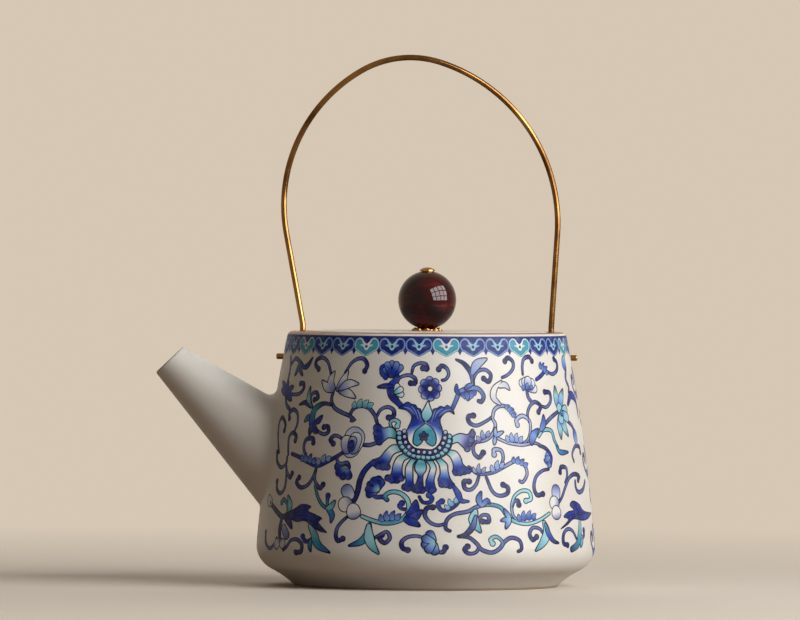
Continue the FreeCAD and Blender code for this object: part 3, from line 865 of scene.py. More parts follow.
# %% Wings, vase and heart
# The wings, the vase and the heart each have a left and a right half, drawn by their two edges.
WINGS = (
    (((34, 43), (42, 45), (47, 50), (47, 55), (44, 62)),
     ((34, 43), (38, 40), (43, 37), (47, 39), (51, 40), (53, 43), (56, 44), (57, 48), (59, 51),
      (61, 57))),
    (((90, 49), (85, 46), (80, 48), (76, 53), (76, 58), (78, 64)),
     ((90, 49), (88, 44), (83, 40), (80, 42), (76, 41), (73, 43), (69, 44), (68, 48), (66, 51),
      (62, 57))),
)
VASE = (
    (((44, 62), (41, 70), (43, 78), (49, 83), (59, 84)),
     ((61, 57), (55, 63), (50, 68), (49, 75), (52, 81), (59, 81))),
    (((78, 64), (78, 73), (74, 80), (67, 85), (59, 84)),
     ((62, 57), (67, 61), (71, 68), (72, 74), (69, 81), (59, 81))),
)
HEART = (
    (((61, 58), (57, 61), (51, 66), (49, 73), (49, 78), (53, 81)),
     ((61, 58), (61, 64), (60, 69), (60, 73), (58, 77), (53, 81))),
    (((61, 58), (66, 61), (70, 66), (72, 73), (71, 79), (68, 81)),
     ((61, 58), (61, 64), (60, 69), (60, 73), (63, 78), (68, 81))),
)
CLEFT = ((53, 81), (57, 78), (60, 74), (63, 78), (68, 81))
SPEAR = (((63, 36), (60, 42), (57, 48), (58, 53), (61, 57)),
         ((64, 36), (66, 42), (68, 48), (66, 53), (62, 57)))
WING_RIBS = (
    ((40, 42), (46, 44), (51, 50)),
    ((47, 41), (51, 46), (54, 54)),
    ((53, 44), (55, 49), (57, 56)),
    ((86, 44), (80, 46), (74, 51)),
    ((78, 43), (73, 47), (70, 54)),
    ((71, 45), (69, 50), (67, 57)),
)
STAR_MIDDLE, STAR_POINTS, STAR_REACH = (59.5, 71), 5, 1.5 * MM
for wing, half_vase, half_heart in zip(WINGS, VASE, HEART):
    lotus_panel(wing, (ROYAL, COBALT, ROYAL, COBALT), 3)
    lotus_panel(half_vase, (COBALT, SKY, BLANK, BLANK, BLANK, BLANK), 3, (True, False))
    lotus_panel(half_heart, (TEAL_PALE, TEAL, TEAL, TEAL), 4, (True, False))
for rib in WING_RIBS:
    canvas.stroke(laid(lotus, rib), (0.12, 0.22, 0.12), (SKY, INDIGO_PALE), 5, outline=0)
canvas.stroke(laid(lotus, CLEFT), (0.2, 0.2), (INK, INK), 5, outline=0)
lotus_panel(SPEAR, (BLANK, TEAL_PALE, TEAL), 4)
for k in range(STAR_POINTS):
    heading = 90 + 360 / STAR_POINTS * k
    dab(lotus(*STAR_MIDDLE), heading, STAR_REACH, 0.4, (INK, ROYAL), 6)
print("strokes so far", count_strokes())

# %% Beads and floret
BIG_BEADS, SMALL_BEADS = 17, 13
BIG_ROW = ((35, 68), (36, 77), (41, 85), (49, 90), (60, 92), (71, 91), (80, 86), (84, 79), (85, 71))
SMALL_ROW = ((40, 66), (41, 76), (45, 82), (51, 86), (60, 87), (69, 87), (76, 82), (80, 75), (81, 67))
BEAD_GROUND = 0.3
FLORET_MIDDLE, FLORET_PETALS, FLORET_TURN = (65.5, 23.5), 8, 4
FLORET_EYE, FLORET_REACH = 0.9 * MM, 3.1 * MM


def string_beads(row, count, size, colours, layer):
    """Round beads side by side along a line, each over its neighbour's edge."""
    line = smooth_line(laid(lotus, row))
    length = length_of(line)
    ground = (size + BEAD_GROUND, size + BEAD_GROUND)
    canvas.stroke(laid(lotus, row), ground, (INDIGO, INDIGO), layer - 1)
    for k, bead in enumerate(walk(line, [length * k / (count - 1) for k in range(count)])):
        dot(bead, size, colours, layer + k % 2)


string_beads(BIG_ROW, BIG_BEADS, 0.72, (TEAL, TEAL_PALE, SKY), 6)
string_beads(SMALL_ROW, SMALL_BEADS, 0.52, (TEAL_PALE, PALE, BLANK), 9)
vine(right, [(0.5, 6.6), (0.45, 7.0), (0.38, 7.3)], width=0.1)
floret = lotus(*FLORET_MIDDLE)
for k in range(FLORET_PETALS):
    heading = 360 / FLORET_PETALS * k + FLORET_TURN
    petal = toward(floret, heading, FLORET_EYE)
    dab(petal, heading, FLORET_REACH, 1.2, (ROYAL, ROYAL, COBALT, PALE), 3 + k % 2)
dot(floret, 0.75, (BLANK, BLANK), 5)
print("strokes so far", count_strokes())

# %% [markdown]
# ## Scrolls to the left
# The vine leaves the lotus, throws a hook at each turn and carries a bud, a round flower and three
# loops of bare petals. The spots are read off the squared sheet, in squares from its corner.

# %% Left scroll, bud and upper leaves
BUD_PETALS = (
    ((8.4, 6.1), (7.8, 5.8), (7.25, 5.1)),
    ((8.9, 6.1), (9.8, 6.3), (10.6, 6.8)),
    ((8.9, 6.0), (9.9, 5.4), (10.9, 5.4)),
    ((8.5, 6.0), (8.1, 5.2), (8.5, 4.15)),
    ((8.7, 6.1), (9.3, 5.2), (9.85, 4.1)),
)
for k, spots in enumerate(BUD_PETALS):
    leaf(left, spots, 1.3, (INDIGO_PALE, PALE, BLANK, PALE), 1 + k % 3)
hook(left, [(6.9, 3.95), (6.6, 3.5), (6.75, 3.0), (7.3, 2.8), (7.8, 3.2), (8.05, 4.0), (8.2, 4.9)])
hook(left, [(11.5, 4.1), (11.75, 3.5), (11.4, 2.9), (10.8, 2.9), (10.2, 3.3), (9.8, 3.9), (9.5, 4.4)])
vine(left, [(8.4, 6.1), (8.2, 7.0), (8.5, 7.8), (9.3, 8.3), (10.0, 8.6), (10.45, 9.0), (10.1, 9.1)])
LEAFY_STEM = ((8.3, 7.5), (7.4, 7.4), (6.6, 7.9), (6.3, 8.7), (6.3, 9.6), (6.8, 10.3))
canvas.stroke(laid(left, LEAFY_STEM), (0.3, 0.4, 0.8, 1.1, 1.3, 0.6),
              (INDIGO, INDIGO, TEAL, COBALT, INDIGO), 1)
leaf(left, [(6.3, 8.9), (5.9, 8.8), (5.5, 9.2)], 0.9, (INDIGO, TEAL), 0)
leaf(left, [(6.2, 9.5), (6.1, 10.0), (6.0, 10.6)], 0.8, (INDIGO, INDIGO), 0)
leaf(left, [(6.5, 9.3), (6.9, 9.1), (7.3, 8.6)], 0.9, (ROYAL, COBALT), 0)
hook(left, [(7.45, 9.75), (7.85, 9.7), (7.9, 10.2), (7.5, 10.45), (6.9, 10.2), (6.5, 9.6)])
leaf(left, [(6.2, 7.8), (5.9, 7.0), (6.1, 5.7)], 0.9, (TEAL, TEAL_PALE, INDIGO))
leaf(left, [(6.2, 7.8), (5.6, 7.3), (5.0, 7.5)], 0.6, (INDIGO, INDIGO))
hook(left, [(6.5, 7.0), (6.85, 6.8), (6.7, 6.3), (6.3, 6.4), (6.1, 7.0), (6.3, 7.8)])
vine(left, [(4.1, 2.6), (4.1, 3.5), (3.9, 4.8), (3.6, 6.0)], width=0.5)
vine(left, [(4.1, 3.6), (4.6, 2.9), (5.1, 3.3), (5.4, 3.7)], width=0.45)
leaf(left, [(5.3, 3.8), (5.8, 3.6), (6.3, 2.8)], 0.8, (COBALT, INK))
leaf(left, [(5.0, 3.2), (4.8, 4.0), (4.5, 4.6)], 0.9, (TEAL, INDIGO), 0)
leaf(left, [(5.1, 3.4), (5.1, 4.1), (5.3, 4.6)], 0.7, (INDIGO_PALE, INDIGO), 0)
spray(left, (3.7, 6.5), (3.7, 6.3), ((3.3, 5.2), (3.9, 5.1), (4.4, 5.7), (3.2, 6.0), (4.2, 7.1)), 1.2,
      (INDIGO, COBALT, INDIGO), layers=2)
hook(left, [(5.1, 5.4), (5.4, 5.4), (5.4, 5.9), (5.0, 6.4), (4.4, 6.5), (3.9, 6.4)])
vine(left, [(3.6, 6.7), (3.7, 7.5), (4.1, 8.1)], width=0.5)
print("strokes so far", count_strokes())

# %% Left scroll, hooks at the edge and the shell above
hook(left, [(4.0, 8.9), (4.0, 8.4), (4.4, 8.0), (4.8, 8.4), (4.8, 9.4), (4.5, 10.2)])
hook(left, [(4.6, 11.1), (4.7, 10.7), (4.4, 10.3), (4.0, 10.7), (3.9, 11.6), (3.9, 12.6)])
hook(left, [(2.7, 8.9), (2.4, 9.4), (2.4, 10.1), (2.8, 10.4)])
hook(left, [(3.5, 10.1), (3.6, 9.4), (3.3, 8.8), (3.0, 9.3), (2.9, 10.2), (2.9, 11.4), (3.0, 12.4)])
vine(left, [(10.0, 8.6), (10.4, 7.9), (11.1, 7.6), (11.9, 7.8), (12.5, 8.5), (12.8, 9.4)])
comb(left, (10.4, 7.8), (12.1, 7.8), 75, 2.4, 4, (TEAL, TEAL_PALE))
hook(left, [(13.9, 8.75), (14.4, 8.6), (14.4, 8.0), (13.8, 7.7), (13.1, 8.0), (12.7, 8.7)])
hook(left, [(14.8, 9.6), (14.9, 9.2), (14.5, 9.0), (14.1, 9.2), (14.2, 9.7), (14.6, 10.1)],
     (TEAL_PALE, TEAL))
shell(left, (14.2, 4.7), 92, 5.4, 92, 5, (ROYAL, COBALT, SKY))
hook(left, [(13.6, 4.7), (13.2, 4.3), (13.2, 3.7), (13.7, 3.6), (14.2, 4.2)], (COBALT, COBALT), 3)
SHELL_STEM = ((14.6, 4.2), (14.7, 4.9), (14.2, 5.7), (14.3, 6.5), (14.7, 7.1), (15.3, 7.7))
canvas.stroke(laid(left, SHELL_STEM), (0.5, 0.9, 1.5, 1.4, 0.8, 0.6),
              (COBALT, COBALT, INDIGO, COBALT), 0)
leaf(left, [(14.3, 5.6), (13.6, 5.6), (12.8, 5.7)], 0.7, (COBALT, INK))
shell(left, (14.5, 6.3), 30, 3.3, 80, 3, (TEAL, TEAL_PALE, BLANK))
hook(left, [(16.1, 5.3), (16.55, 5.3), (16.5, 4.8), (15.9, 4.5), (15.1, 4.7), (14.7, 5.2)])
hook(left, [(17.3, 3.8), (17.75, 3.9), (17.6, 3.4), (17.0, 3.3), (16.4, 3.6), (16.2, 4.3)])
print("strokes so far", count_strokes())

# %% Left scroll, round flower and its stem
oval(left, (9.8, 12.7), (10.9, 9.8), 3.7, (PALE, BLANK, PALE), 1)
oval(left, (9.8, 12.4), (9.7, 10.6), 2.0, (INDIGO_PALE, PALE, BLANK), 2)
oval(left, (10.3, 12.4), (10.8, 10.3), 2.1, (INDIGO_PALE, PALE, BLANK), 3)
oval(left, (10.1, 12.1), (10.45, 10.7), 1.4, (INDIGO, INDIGO_PALE, PALE), 4)
oval(left, (10.15, 11.8), (10.3, 11.1), 0.8, (COBALT, INDIGO), 5)
vine(left, [(11.3, 11.5), (12.1, 11.5), (12.9, 11.2)])
hook(left, [(8.4, 11.4), (8.1, 11.0), (8.5, 10.6), (9.0, 10.7), (9.4, 11.0)])
vine(left, [(9.5, 12.2), (8.7, 12.7), (7.8, 13.2), (6.8, 13.6), (5.8, 13.2), (4.9, 12.7), (4.2, 12.4)],
     (INDIGO, COBALT, INDIGO), 0.5)
comb(left, (5.3, 13.0), (6.6, 13.5), 100, 2.4, 4)
comb(left, (6.9, 13.5), (7.9, 13.1), 80, 2.2, 3, (SKY, PALE))
hook(left, [(6.4, 11.3), (6.35, 10.9), (5.7, 11.0), (5.45, 11.8), (5.7, 12.7), (6.2, 13.3)])
shell(left, (9.7, 13.7), 235, 4.4, 110, 4, (TEAL_PALE, COBALT, ROYAL))
hook(left, [(9.5, 13.9), (9.95, 13.8), (9.8, 13.3), (9.2, 13.4), (8.8, 13.1), (8.9, 12.5)], layer=3)
hook(left, [(5.0, 14.8), (4.75, 15.3), (5.2, 15.8), (5.9, 15.5), (6.4, 14.7), (6.8, 13.6)])
hook(left, [(7.4, 15.5), (7.1, 15.85), (6.7, 15.4), (6.55, 14.8), (6.7, 14.0)])
print("strokes so far", count_strokes())

# %% Left scroll, bare petals and turquoise stem
vine(left, [(12.5, 13.1), (11.6, 14.0), (11.1, 15.0), (10.9, 16.0), (10.6, 16.9), (10.2, 17.5)],
     (COBALT, INDIGO, INDIGO), 0.75)
oval(left, (10.3, 16.9), (9.5, 15.6), 2.0, (BLANK, PALE, INDIGO_PALE), 1)
oval(left, (10.3, 17.2), (9.0, 17.7), 2.4, (INDIGO_PALE, BLANK, BLANK), 2)
oval(left, (10.3, 17.4), (10.6, 18.9), 2.3, (BLANK, BLANK, INDIGO_PALE), 3)
shell(left, (13.0, 16.0), 150, 4.6, 110, 5, (TEAL_PALE, COBALT, ROYAL))
hook(left, [(13.1, 15.6), (13.4, 15.3), (13.1, 14.9), (12.4, 14.9), (12.1, 15.5)], (COBALT, COBALT), 3)
vine(left, [(12.3, 16.2), (12.7, 16.7), (13.4, 16.7), (13.9, 17.1)], (COBALT, INDIGO), 0.5)
vine(left, [(13.9, 17.1), (13.6, 16.6), (14.2, 16.2), (15.1, 16.3), (15.8, 16.9), (16.0, 17.8),
            (15.6, 18.7), (14.6, 19.2), (13.4, 19.3), (12.2, 19.0), (11.2, 18.6)],
     (TEAL, TEAL_PALE, TEAL, TEAL_PALE), 0.6)
leaf(left, [(15.8, 18.5), (16.5, 18.0), (16.7, 17.0)], 1.4, (COBALT, ROYAL), 1)
leaf(left, [(15.6, 18.8), (16.5, 18.7), (17.3, 18.0)], 1.3, (COBALT, ROYAL), 2)
leaf(left, [(15.5, 18.9), (16.4, 19.2), (17.1, 19.6)], 1.2, (COBALT, ROYAL), 3)
comb(left, (13.3, 19.1), (15.0, 19.0), 95, 2.6, 4)
hook(left, [(15.3, 17.3), (15.05, 17.6), (15.4, 17.9), (15.9, 17.9)], (COBALT, INDIGO))
hook(left, [(9.4, 20.9), (8.9, 21.1), (8.7, 20.5), (8.9, 19.7), (9.5, 19.0), (10.0, 18.6)])
leaf(left, [(12.1, 19.3), (11.9, 20.4), (11.2, 21.2), (10.0, 21.6)], 1.1, (TEAL_PALE, TEAL, COBALT))
leaf(left, [(12.0, 19.4), (12.0, 20.6), (12.3, 21.5), (13.0, 22.4)], 1.5,
     (TEAL_PALE, TEAL_PALE, TEAL), 2)
hook(left, [(13.3, 20.5), (13.1, 20.9), (13.6, 21.3), (14.1, 20.8), (13.8, 20.2), (13.1, 20.5),
            (12.4, 20.9)])
print("strokes so far", count_strokes())

# %% Left scroll, broad leaf at the bottom
vine(left, [(6.6, 15.6), (6.9, 16.8), (7.4, 17.6), (8.0, 18.0)], (TEAL, TEAL), 0.35)
leaf(left, [(7.7, 17.9), (8.2, 17.7), (8.6, 17.1)], 0.9, (TEAL_PALE, TEAL))
leaf(left, [(7.8, 17.8), (8.3, 18.5), (8.2, 19.3)], 0.9, (TEAL, COBALT))
hook(left, [(7.9, 16.6), (7.85, 17.0), (7.8, 17.8)], (COBALT, TEAL))
hook(left, [(2.8, 12.3), (2.8, 13.2), (3.2, 13.8), (3.7, 13.4), (3.8, 12.7)])
hook(left, [(4.3, 14.4), (4.1, 14.8), (3.8, 14.3), (3.7, 13.6)])
hook(left, [(2.8, 15.2), (2.8, 16.0), (3.1, 16.4), (3.5, 16.0), (3.7, 15.0), (3.7, 13.8)])
oval(left, (2.3, 17.5), (1.9, 16.8), 1.6, (PALE, BLANK, PALE), 1)
vine(left, [(2.1, 17.2), (2.7, 18.1), (3.3, 18.7), (4.0, 18.7)], (INK, INDIGO), 0.7, 1)
leaf(left, [(3.8, 18.5), (4.1, 17.6), (3.9, 16.6)], 1.1, (TEAL, TEAL_PALE, TEAL), 0)
hook(left, [(3.3, 17.3), (3.5, 17.0), (3.8, 17.4), (3.9, 18.2)], (TEAL, TEAL))
blade(left,
      ((3.3, 18.6), (4.5, 18.0), (5.3, 17.5), (6.2, 17.7), (5.8, 18.1), (6.6, 18.5), (7.3, 18.9),
       (6.8, 19.1), (7.8, 20.3)),
      ((3.3, 18.6), (4.1, 18.9), (4.8, 19.2), (5.6, 19.1), (6.3, 19.6), (7.0, 20.1), (7.8, 20.3)),
      (INDIGO, ROYAL, COBALT, ROYAL, INDIGO), 2,
      (((3.6, 18.6), (4.8, 18.3), (5.9, 17.8)), ((4.0, 18.7), (5.6, 18.6), (7.0, 18.9)),
       ((4.6, 18.9), (6.2, 19.1), (7.4, 20.0))))
leaf(left, [(3.6, 18.8), (4.0, 19.2), (4.3, 19.9)], 1.1, (INDIGO, INDIGO), 1)
vine(left, [(3.3, 18.8), (3.1, 20.0), (3.1, 21.4)], (INDIGO, INK), 0.7)
oval(left, (3.4, 19.6), (3.9, 20.9), 1.3, (PALE, INDIGO_PALE), 1)
oval(left, (3.1, 21.0), (2.6, 21.8), 1.5, (INDIGO_PALE, BLANK, PALE), 2)
oval(left, (3.2, 21.0), (3.5, 21.8), 1.5, (INDIGO_PALE, BLANK, PALE), 3)
hook(left, [(1.7, 20.3), (1.7, 21.3), (2.1, 21.9), (2.6, 21.4), (2.8, 20.8)])
leaf(left, [(6.0, 19.5), (6.5, 20.4), (6.9, 21.5), (8.1, 22.3)], 1.3, (TEAL_PALE, TEAL, COBALT))
hook(left, [(5.4, 20.7), (5.7, 21.2), (6.3, 20.9), (6.5, 20.3)], (COBALT, INDIGO))
hook(left, [(4.7, 22.3), (5.2, 22.2), (5.3, 21.5), (4.8, 21.0), (4.2, 21.1), (3.8, 21.7), (3.4, 22.1)])
leaf(left, [(6.2, 21.0), (6.1, 21.6), (6.2, 22.2)], 0.7, (TEAL, INDIGO))
hook(left, [(15.9, 22.0), (15.4, 21.8), (15.3, 21.2), (15.9, 20.7), (16.9, 20.6), (17.7, 20.9)])
print("strokes so far", count_strokes())

# %% [markdown]
# ## Scrolls to the right
# The right side answers the left with the same marks in another order, and its loops of bare
# petals hang from the stem that runs along the lower edge.

# %% Right scroll, upper leaves
hook(right, [(1.4, 3.9), (1.7, 3.55), (2.2, 3.8), (2.4, 4.4), (2.1, 4.9), (1.7, 5.0)])
leaf(right, [(4.8, 5.3), (4.6, 4.2), (3.9, 3.3), (3.1, 2.9)], 0.7, (INDIGO_PALE, INDIGO, INK))
leaf(right, [(4.7, 4.4), (5.2, 3.4), (6.2, 2.8)], 1.4, (SKY, PALE, PALE))
hook(right, [(5.9, 4.8), (6.4, 5.1), (6.6, 4.4), (6.0, 3.9), (5.3, 4.1), (4.9, 4.8), (4.9, 5.5)])
vine(right, [(2.7, 8.0), (3.1, 7.1), (3.5, 6.2), (4.3, 5.8), (5.3, 5.8), (5.9, 6.5), (5.7, 7.1),
             (5.3, 7.0)],
     (COBALT, SKY, INDIGO), 0.6)
comb(right, (3.5, 6.3), (5.2, 5.9), 275, 2.4, 5, (COBALT, SKY))
leaf(right, [(3.5, 6.4), (3.2, 6.0), (3.2, 5.4)], 0.6, (COBALT, COBALT))
leaf(right, [(4.0, 5.9), (4.3, 5.6), (4.9, 5.3)], 0.6, (COBALT, SKY))
leaf(right, [(7.6, 7.4), (6.9, 6.7), (7.0, 5.8), (7.7, 5.0)], 1.0, (PALE, BLANK, BLANK))
leaf(right, [(7.4, 5.6), (8.0, 5.4), (8.5, 5.9)], 0.9, (BLANK, PALE))
hook(right, [(8.0, 3.05), (8.3, 2.7), (8.8, 3.1), (8.8, 3.8), (8.3, 4.4), (7.7, 4.7)])
PEONY_EDGES = ((9.5, 5.0), (11.2, 5.8), (9.9, 4.7), (10.9, 5.0), (10.35, 4.6))
PEONY_SIZES = (1.3, 1.3, 1.5, 1.5, 1.5)
for k, (edge, size) in enumerate(zip(PEONY_EDGES, PEONY_SIZES)):
    oval(right, (10.25, 5.7), edge, size, (INDIGO_PALE, PALE, BLANK), 1 + k)
comb(right, (9.9, 5.9), (10.7, 5.9), 90, 1.8, 3, (COBALT, SKY), 6)
hook(right, [(10.7, 3.0), (10.4, 2.6), (9.9, 2.8), (9.75, 3.5), (9.8, 4.4)])
vine(right, [(11.1, 4.9), (11.6, 4.5), (12.0, 3.9), (11.7, 3.4)], (COBALT, INDIGO), 0.45)
comb(right, (11.5, 3.7), (12.2, 4.4), 55, 2.4, 4)
hook(right, [(12.9, 2.8), (13.2, 3.2), (13.2, 3.9), (12.8, 4.3), (12.3, 4.1), (11.9, 3.7)])
leaf(right, [(14.1, 3.9), (13.9, 3.2), (13.9, 2.5)], 2.0, (COBALT, SKY, TEAL_PALE))
vine(right, [(14.1, 3.8), (14.1, 4.8), (14.4, 5.6), (14.4, 6.2)], width=0.5)
vine(right, [(10.2, 5.9), (10.4, 6.7), (10.9, 7.3)])
hook(right, [(11.4, 8.1), (11.6, 7.5), (11.0, 7.1), (10.5, 7.6), (10.3, 8.4), (10.5, 9.2)])
hook(right, [(12.0, 6.1), (12.5, 6.2), (12.6, 7.0), (12.2, 7.6), (11.6, 7.5)])
print("strokes so far", count_strokes())

# %% Right scroll, pale stems in the middle
hook(right, [(4.9, 8.5), (4.4, 8.6), (4.5, 9.2), (5.2, 9.5), (6.1, 9.1), (6.8, 8.6)])
vine(right, [(6.8, 8.8), (7.0, 7.9), (7.7, 7.5), (8.5, 7.8), (8.8, 8.4)], (PALE, INDIGO_PALE), 0.42)
comb(right, (8.0, 7.7), (8.8, 8.5), 5, 2.2, 4)
vine(right, [(5.0, 11.2), (6.2, 10.9), (6.9, 10.2), (7.1, 9.4), (6.8, 8.8)], (INDIGO_PALE, PALE), 0.42)
comb(right, (5.6, 11.0), (6.5, 10.6), 115, 2.2, 3, (INDIGO_PALE, PALE))
hook(right, [(5.9, 12.2), (5.5, 12.7), (5.0, 12.3), (4.9, 11.6), (5.2, 11.1)])
spray(right, (7.1, 10.6), (7.1, 10.5), ((7.1, 9.7), (7.9, 10.1), (7.0, 11.4)), 0.6, (SKY, PALE))
vine(right, [(7.2, 10.7), (8.4, 11.2), (9.8, 11.4), (10.9, 11.2), (11.6, 11.4)],
     (PALE, PALE, INDIGO_PALE), 0.36)
comb(right, (8.4, 11.0), (9.8, 11.2), 100, 2.4, 4, (SKY, PALE))
hook(right, [(9.3, 9.4), (9.2, 8.9), (9.8, 8.5), (10.5, 9.0), (10.6, 9.9), (10.4, 10.8), (9.9, 11.3)],
     (PALE, PALE, INDIGO_PALE))
leaf(right, [(10.7, 11.4), (10.9, 10.5), (11.4, 9.8)], 1.3, (COBALT, SKY, COBALT))
leaf(right, [(11.6, 10.0), (11.9, 9.3), (11.9, 8.4)], 1.1, (SKY, COBALT))
vine(right, [(11.8, 9.6), (12.6, 8.7), (13.4, 8.0)])
vine(right, [(11.4, 10.6), (11.9, 9.9), (12.7, 10.0), (13.0, 10.9), (13.4, 11.7)],
     (TEAL_PALE, TEAL), 0.5)
leaf(right, [(13.2, 11.5), (13.6, 12.1), (14.4, 12.1)], 0.7, (TEAL, COBALT))
vine(right, [(11.4, 11.4), (12.2, 11.8), (12.7, 12.6), (12.6, 13.6)], (INDIGO, COBALT), 0.45)
comb(right, (12.3, 12.0), (12.7, 13.6), 195, 2.2, 4)
hook(right, [(11.9, 16.3), (11.3, 16.4), (11.0, 15.6), (11.2, 14.6), (11.8, 14.0), (12.5, 13.8)])
vine(right, [(4.4, 13.6), (5.4, 14.3), (6.8, 14.2), (8.0, 13.6), (9.2, 13.0), (10.0, 13.4),
             (10.3, 14.3), (9.9, 15.1), (9.5, 15.0)],
     (COBALT, INDIGO_PALE, PALE, INDIGO_PALE), 0.42)
comb(right, (5.2, 14.2), (6.0, 14.3), 100, 2.4, 3, (INDIGO_PALE, PALE))
comb(right, (6.9, 14.1), (7.8, 13.7), 90, 2.4, 3, (SKY, PALE))
comb(right, (8.9, 13.1), (10.2, 13.7), 75, 2.0, 4)
hook(right, [(7.0, 12.4), (7.0, 11.9), (7.7, 12.0), (7.9, 12.8), (7.6, 13.6)], (PALE, INDIGO_PALE))
hook(right, [(4.5, 15.1), (4.0, 15.1), (4.1, 15.8), (4.7, 15.9), (5.2, 15.4), (5.5, 14.5)])
hook(right, [(7.9, 15.4), (8.4, 15.7), (8.3, 16.3), (7.5, 16.5), (6.8, 16.0), (6.2, 14.6)])
print("strokes so far", count_strokes())

# %% Right scroll, stem along the lower edge
vine(right, [(2.7, 20.1), (2.2, 19.8), (2.3, 19.0), (3.0, 18.4), (4.4, 18.1), (5.4, 17.6), (6.6, 17.4),
             (7.7, 17.7), (8.3, 18.5), (9.2, 19.1), (10.4, 19.3), (11.6, 18.9), (12.6, 18.2)],
     (INDIGO, INDIGO_PALE, TEAL, TEAL_PALE, TEAL_PALE), 0.46)
hook(right, [(0.9, 17.7), (0.3, 17.8), (0.1, 18.5), (0.6, 19.2), (1.4, 19.5), (2.3, 19.3)])
leaf(right, [(5.8, 17.6), (5.5, 16.9), (5.7, 16.1)], 0.9, (SKY, COBALT))
leaf(right, [(5.8, 17.6), (6.3, 17.0), (6.6, 17.3)], 0.7, (SKY, COBALT))
leaf(right, [(5.2, 17.9), (5.0, 19.0), (5.7, 20.2)], 1.5, (TEAL_PALE, TEAL_PALE, TEAL))
leaf(right, [(5.2, 18.5), (4.9, 19.6), (4.2, 20.4), (3.4, 20.6)], 0.8, (SKY, INDIGO, INK), 2)
hook(right, [(5.9, 19.1), (6.5, 19.1), (6.4, 18.5), (5.8, 18.5), (5.4, 19.1)])
spray(right, (8.7, 18.9), (8.6, 18.8), ((8.0, 17.8), (7.7, 19.0), (8.2, 19.8)), 0.7,
      (TEAL_PALE, SKY, COBALT))
hook(right, [(10.2, 17.0), (10.7, 16.8), (10.5, 16.1), (9.8, 16.0), (9.1, 16.5), (8.8, 17.4),
             (8.9, 18.4), (9.4, 19.0)],
     (TEAL_PALE, TEAL_PALE, SKY))
hook(right, [(9.5, 17.4), (9.4, 17.0), (9.0, 17.1), (8.8, 17.7)])
comb(right, (9.6, 19.0), (11.1, 18.9), 95, 2.6, 4, (COBALT, SKY))
oval(right, (13.2, 17.0), (13.2, 15.4), 2.0, (BLANK, PALE, INDIGO_PALE), 1)
oval(right, (13.5, 17.3), (12.6, 17.1), 2.2, (INDIGO_PALE, BLANK, BLANK), 2)
oval(right, (13.1, 17.5), (13.4, 18.8), 2.2, (BLANK, BLANK, INDIGO_PALE), 3)
print("strokes so far", count_strokes())

# %% Right scroll, broad leaf and the bottom row
hook(right, [(15.4, 14.9), (15.5, 14.5), (15.0, 14.3), (14.5, 14.7), (14.1, 15.7), (13.8, 16.6),
             (13.4, 17.3)])
vine(right, [(15.1, 14.9), (15.2, 15.7), (15.5, 16.1), (15.9, 15.8), (16.1, 14.9)], width=0.5)
hook(right, [(13.6, 14.1), (13.7, 13.6), (14.2, 13.7), (14.3, 14.5), (14.1, 15.2)])
blade(right,
      ((16.7, 18.2), (16.0, 18.0), (15.5, 17.3), (14.9, 17.0), (14.6, 17.4), (15.0, 17.9),
       (14.4, 18.1), (14.0, 18.6), (14.6, 18.7), (13.7, 19.8)),
      ((16.7, 18.2), (16.4, 18.7), (15.9, 18.9), (15.4, 18.8), (14.9, 18.8), (14.4, 19.3),
       (13.7, 19.8)),
      (ROYAL, COBALT, ROYAL, COBALT, ROYAL), 2,
      (((16.4, 18.2), (15.6, 18.1), (15.0, 17.4)), ((16.0, 18.4), (15.2, 18.3), (14.3, 18.5)),
       ((15.7, 18.6), (14.9, 18.6), (14.0, 19.5))))
LEAF_TAIL = ((15.6, 18.8), (15.6, 20.2), (15.4, 21.3), (14.7, 21.9))
canvas.stroke(laid(right, LEAF_TAIL), (0.5, 1.1, 1.0, 0.8), (TEAL_PALE, TEAL, INDIGO), 1)
leaf(right, [(15.6, 20.2), (15.8, 20.9), (15.7, 21.6)], 1.1, (TEAL_PALE, TEAL), 0)
hook(right, [(16.0, 19.9), (16.0, 20.5), (15.6, 20.9)])
hook(right, [(14.4, 21.4), (14.0, 21.2), (14.0, 20.3), (14.4, 19.8), (14.9, 20.0), (15.3, 20.8)])
leaf(right, [(12.0, 19.0), (12.3, 20.2), (11.9, 21.2), (11.2, 22.0)], 1.5, (TEAL_PALE, TEAL_PALE, TEAL))
leaf(right, [(12.1, 19.2), (12.5, 20.3), (13.0, 21.0), (13.5, 21.2)], 0.8, (TEAL, COBALT, INK), 2)
hook(right, [(11.3, 20.6), (10.9, 20.9), (10.6, 20.3), (10.9, 19.7), (11.6, 19.8), (12.1, 20.5)])
vine(right, [(3.4, 20.6), (4.5, 20.7), (5.3, 21.3), (5.8, 21.9), (6.8, 22.2), (7.6, 21.8), (8.1, 21.1),
             (8.8, 20.7), (9.6, 21.0), (9.8, 21.8), (9.4, 22.1)],
     width=0.46)
hook(right, [(4.4, 21.6), (4.1, 21.9), (4.5, 22.3), (5.2, 22.2), (5.6, 21.6)])
hook(right, [(6.9, 21.3), (6.7, 20.9), (7.2, 20.6), (7.8, 21.0), (7.9, 21.6)], (TEAL_PALE, TEAL))
shell(right, (1.1, 21.2), 195, 4.2, 150, 5, (TEAL_PALE, SKY, ROYAL))
hook(right, [(2.2, 21.7), (1.9, 22.2), (1.3, 22.0), (1.0, 21.3)])
hook(right, [(1.8, 17.1), (1.4, 17.4), (1.8, 18.0), (2.6, 17.9), (3.3, 17.4), (3.6, 16.8)],
     (COBALT, INDIGO))
leaf(right, [(2.9, 15.5), (3.4, 16.3), (3.7, 17.0), (4.5, 17.1)], 0.8, (COBALT, COBALT))
comb(right, (2.5, 17.8), (3.4, 17.2), 130, 2.0, 3, (SKY, TEAL_PALE))
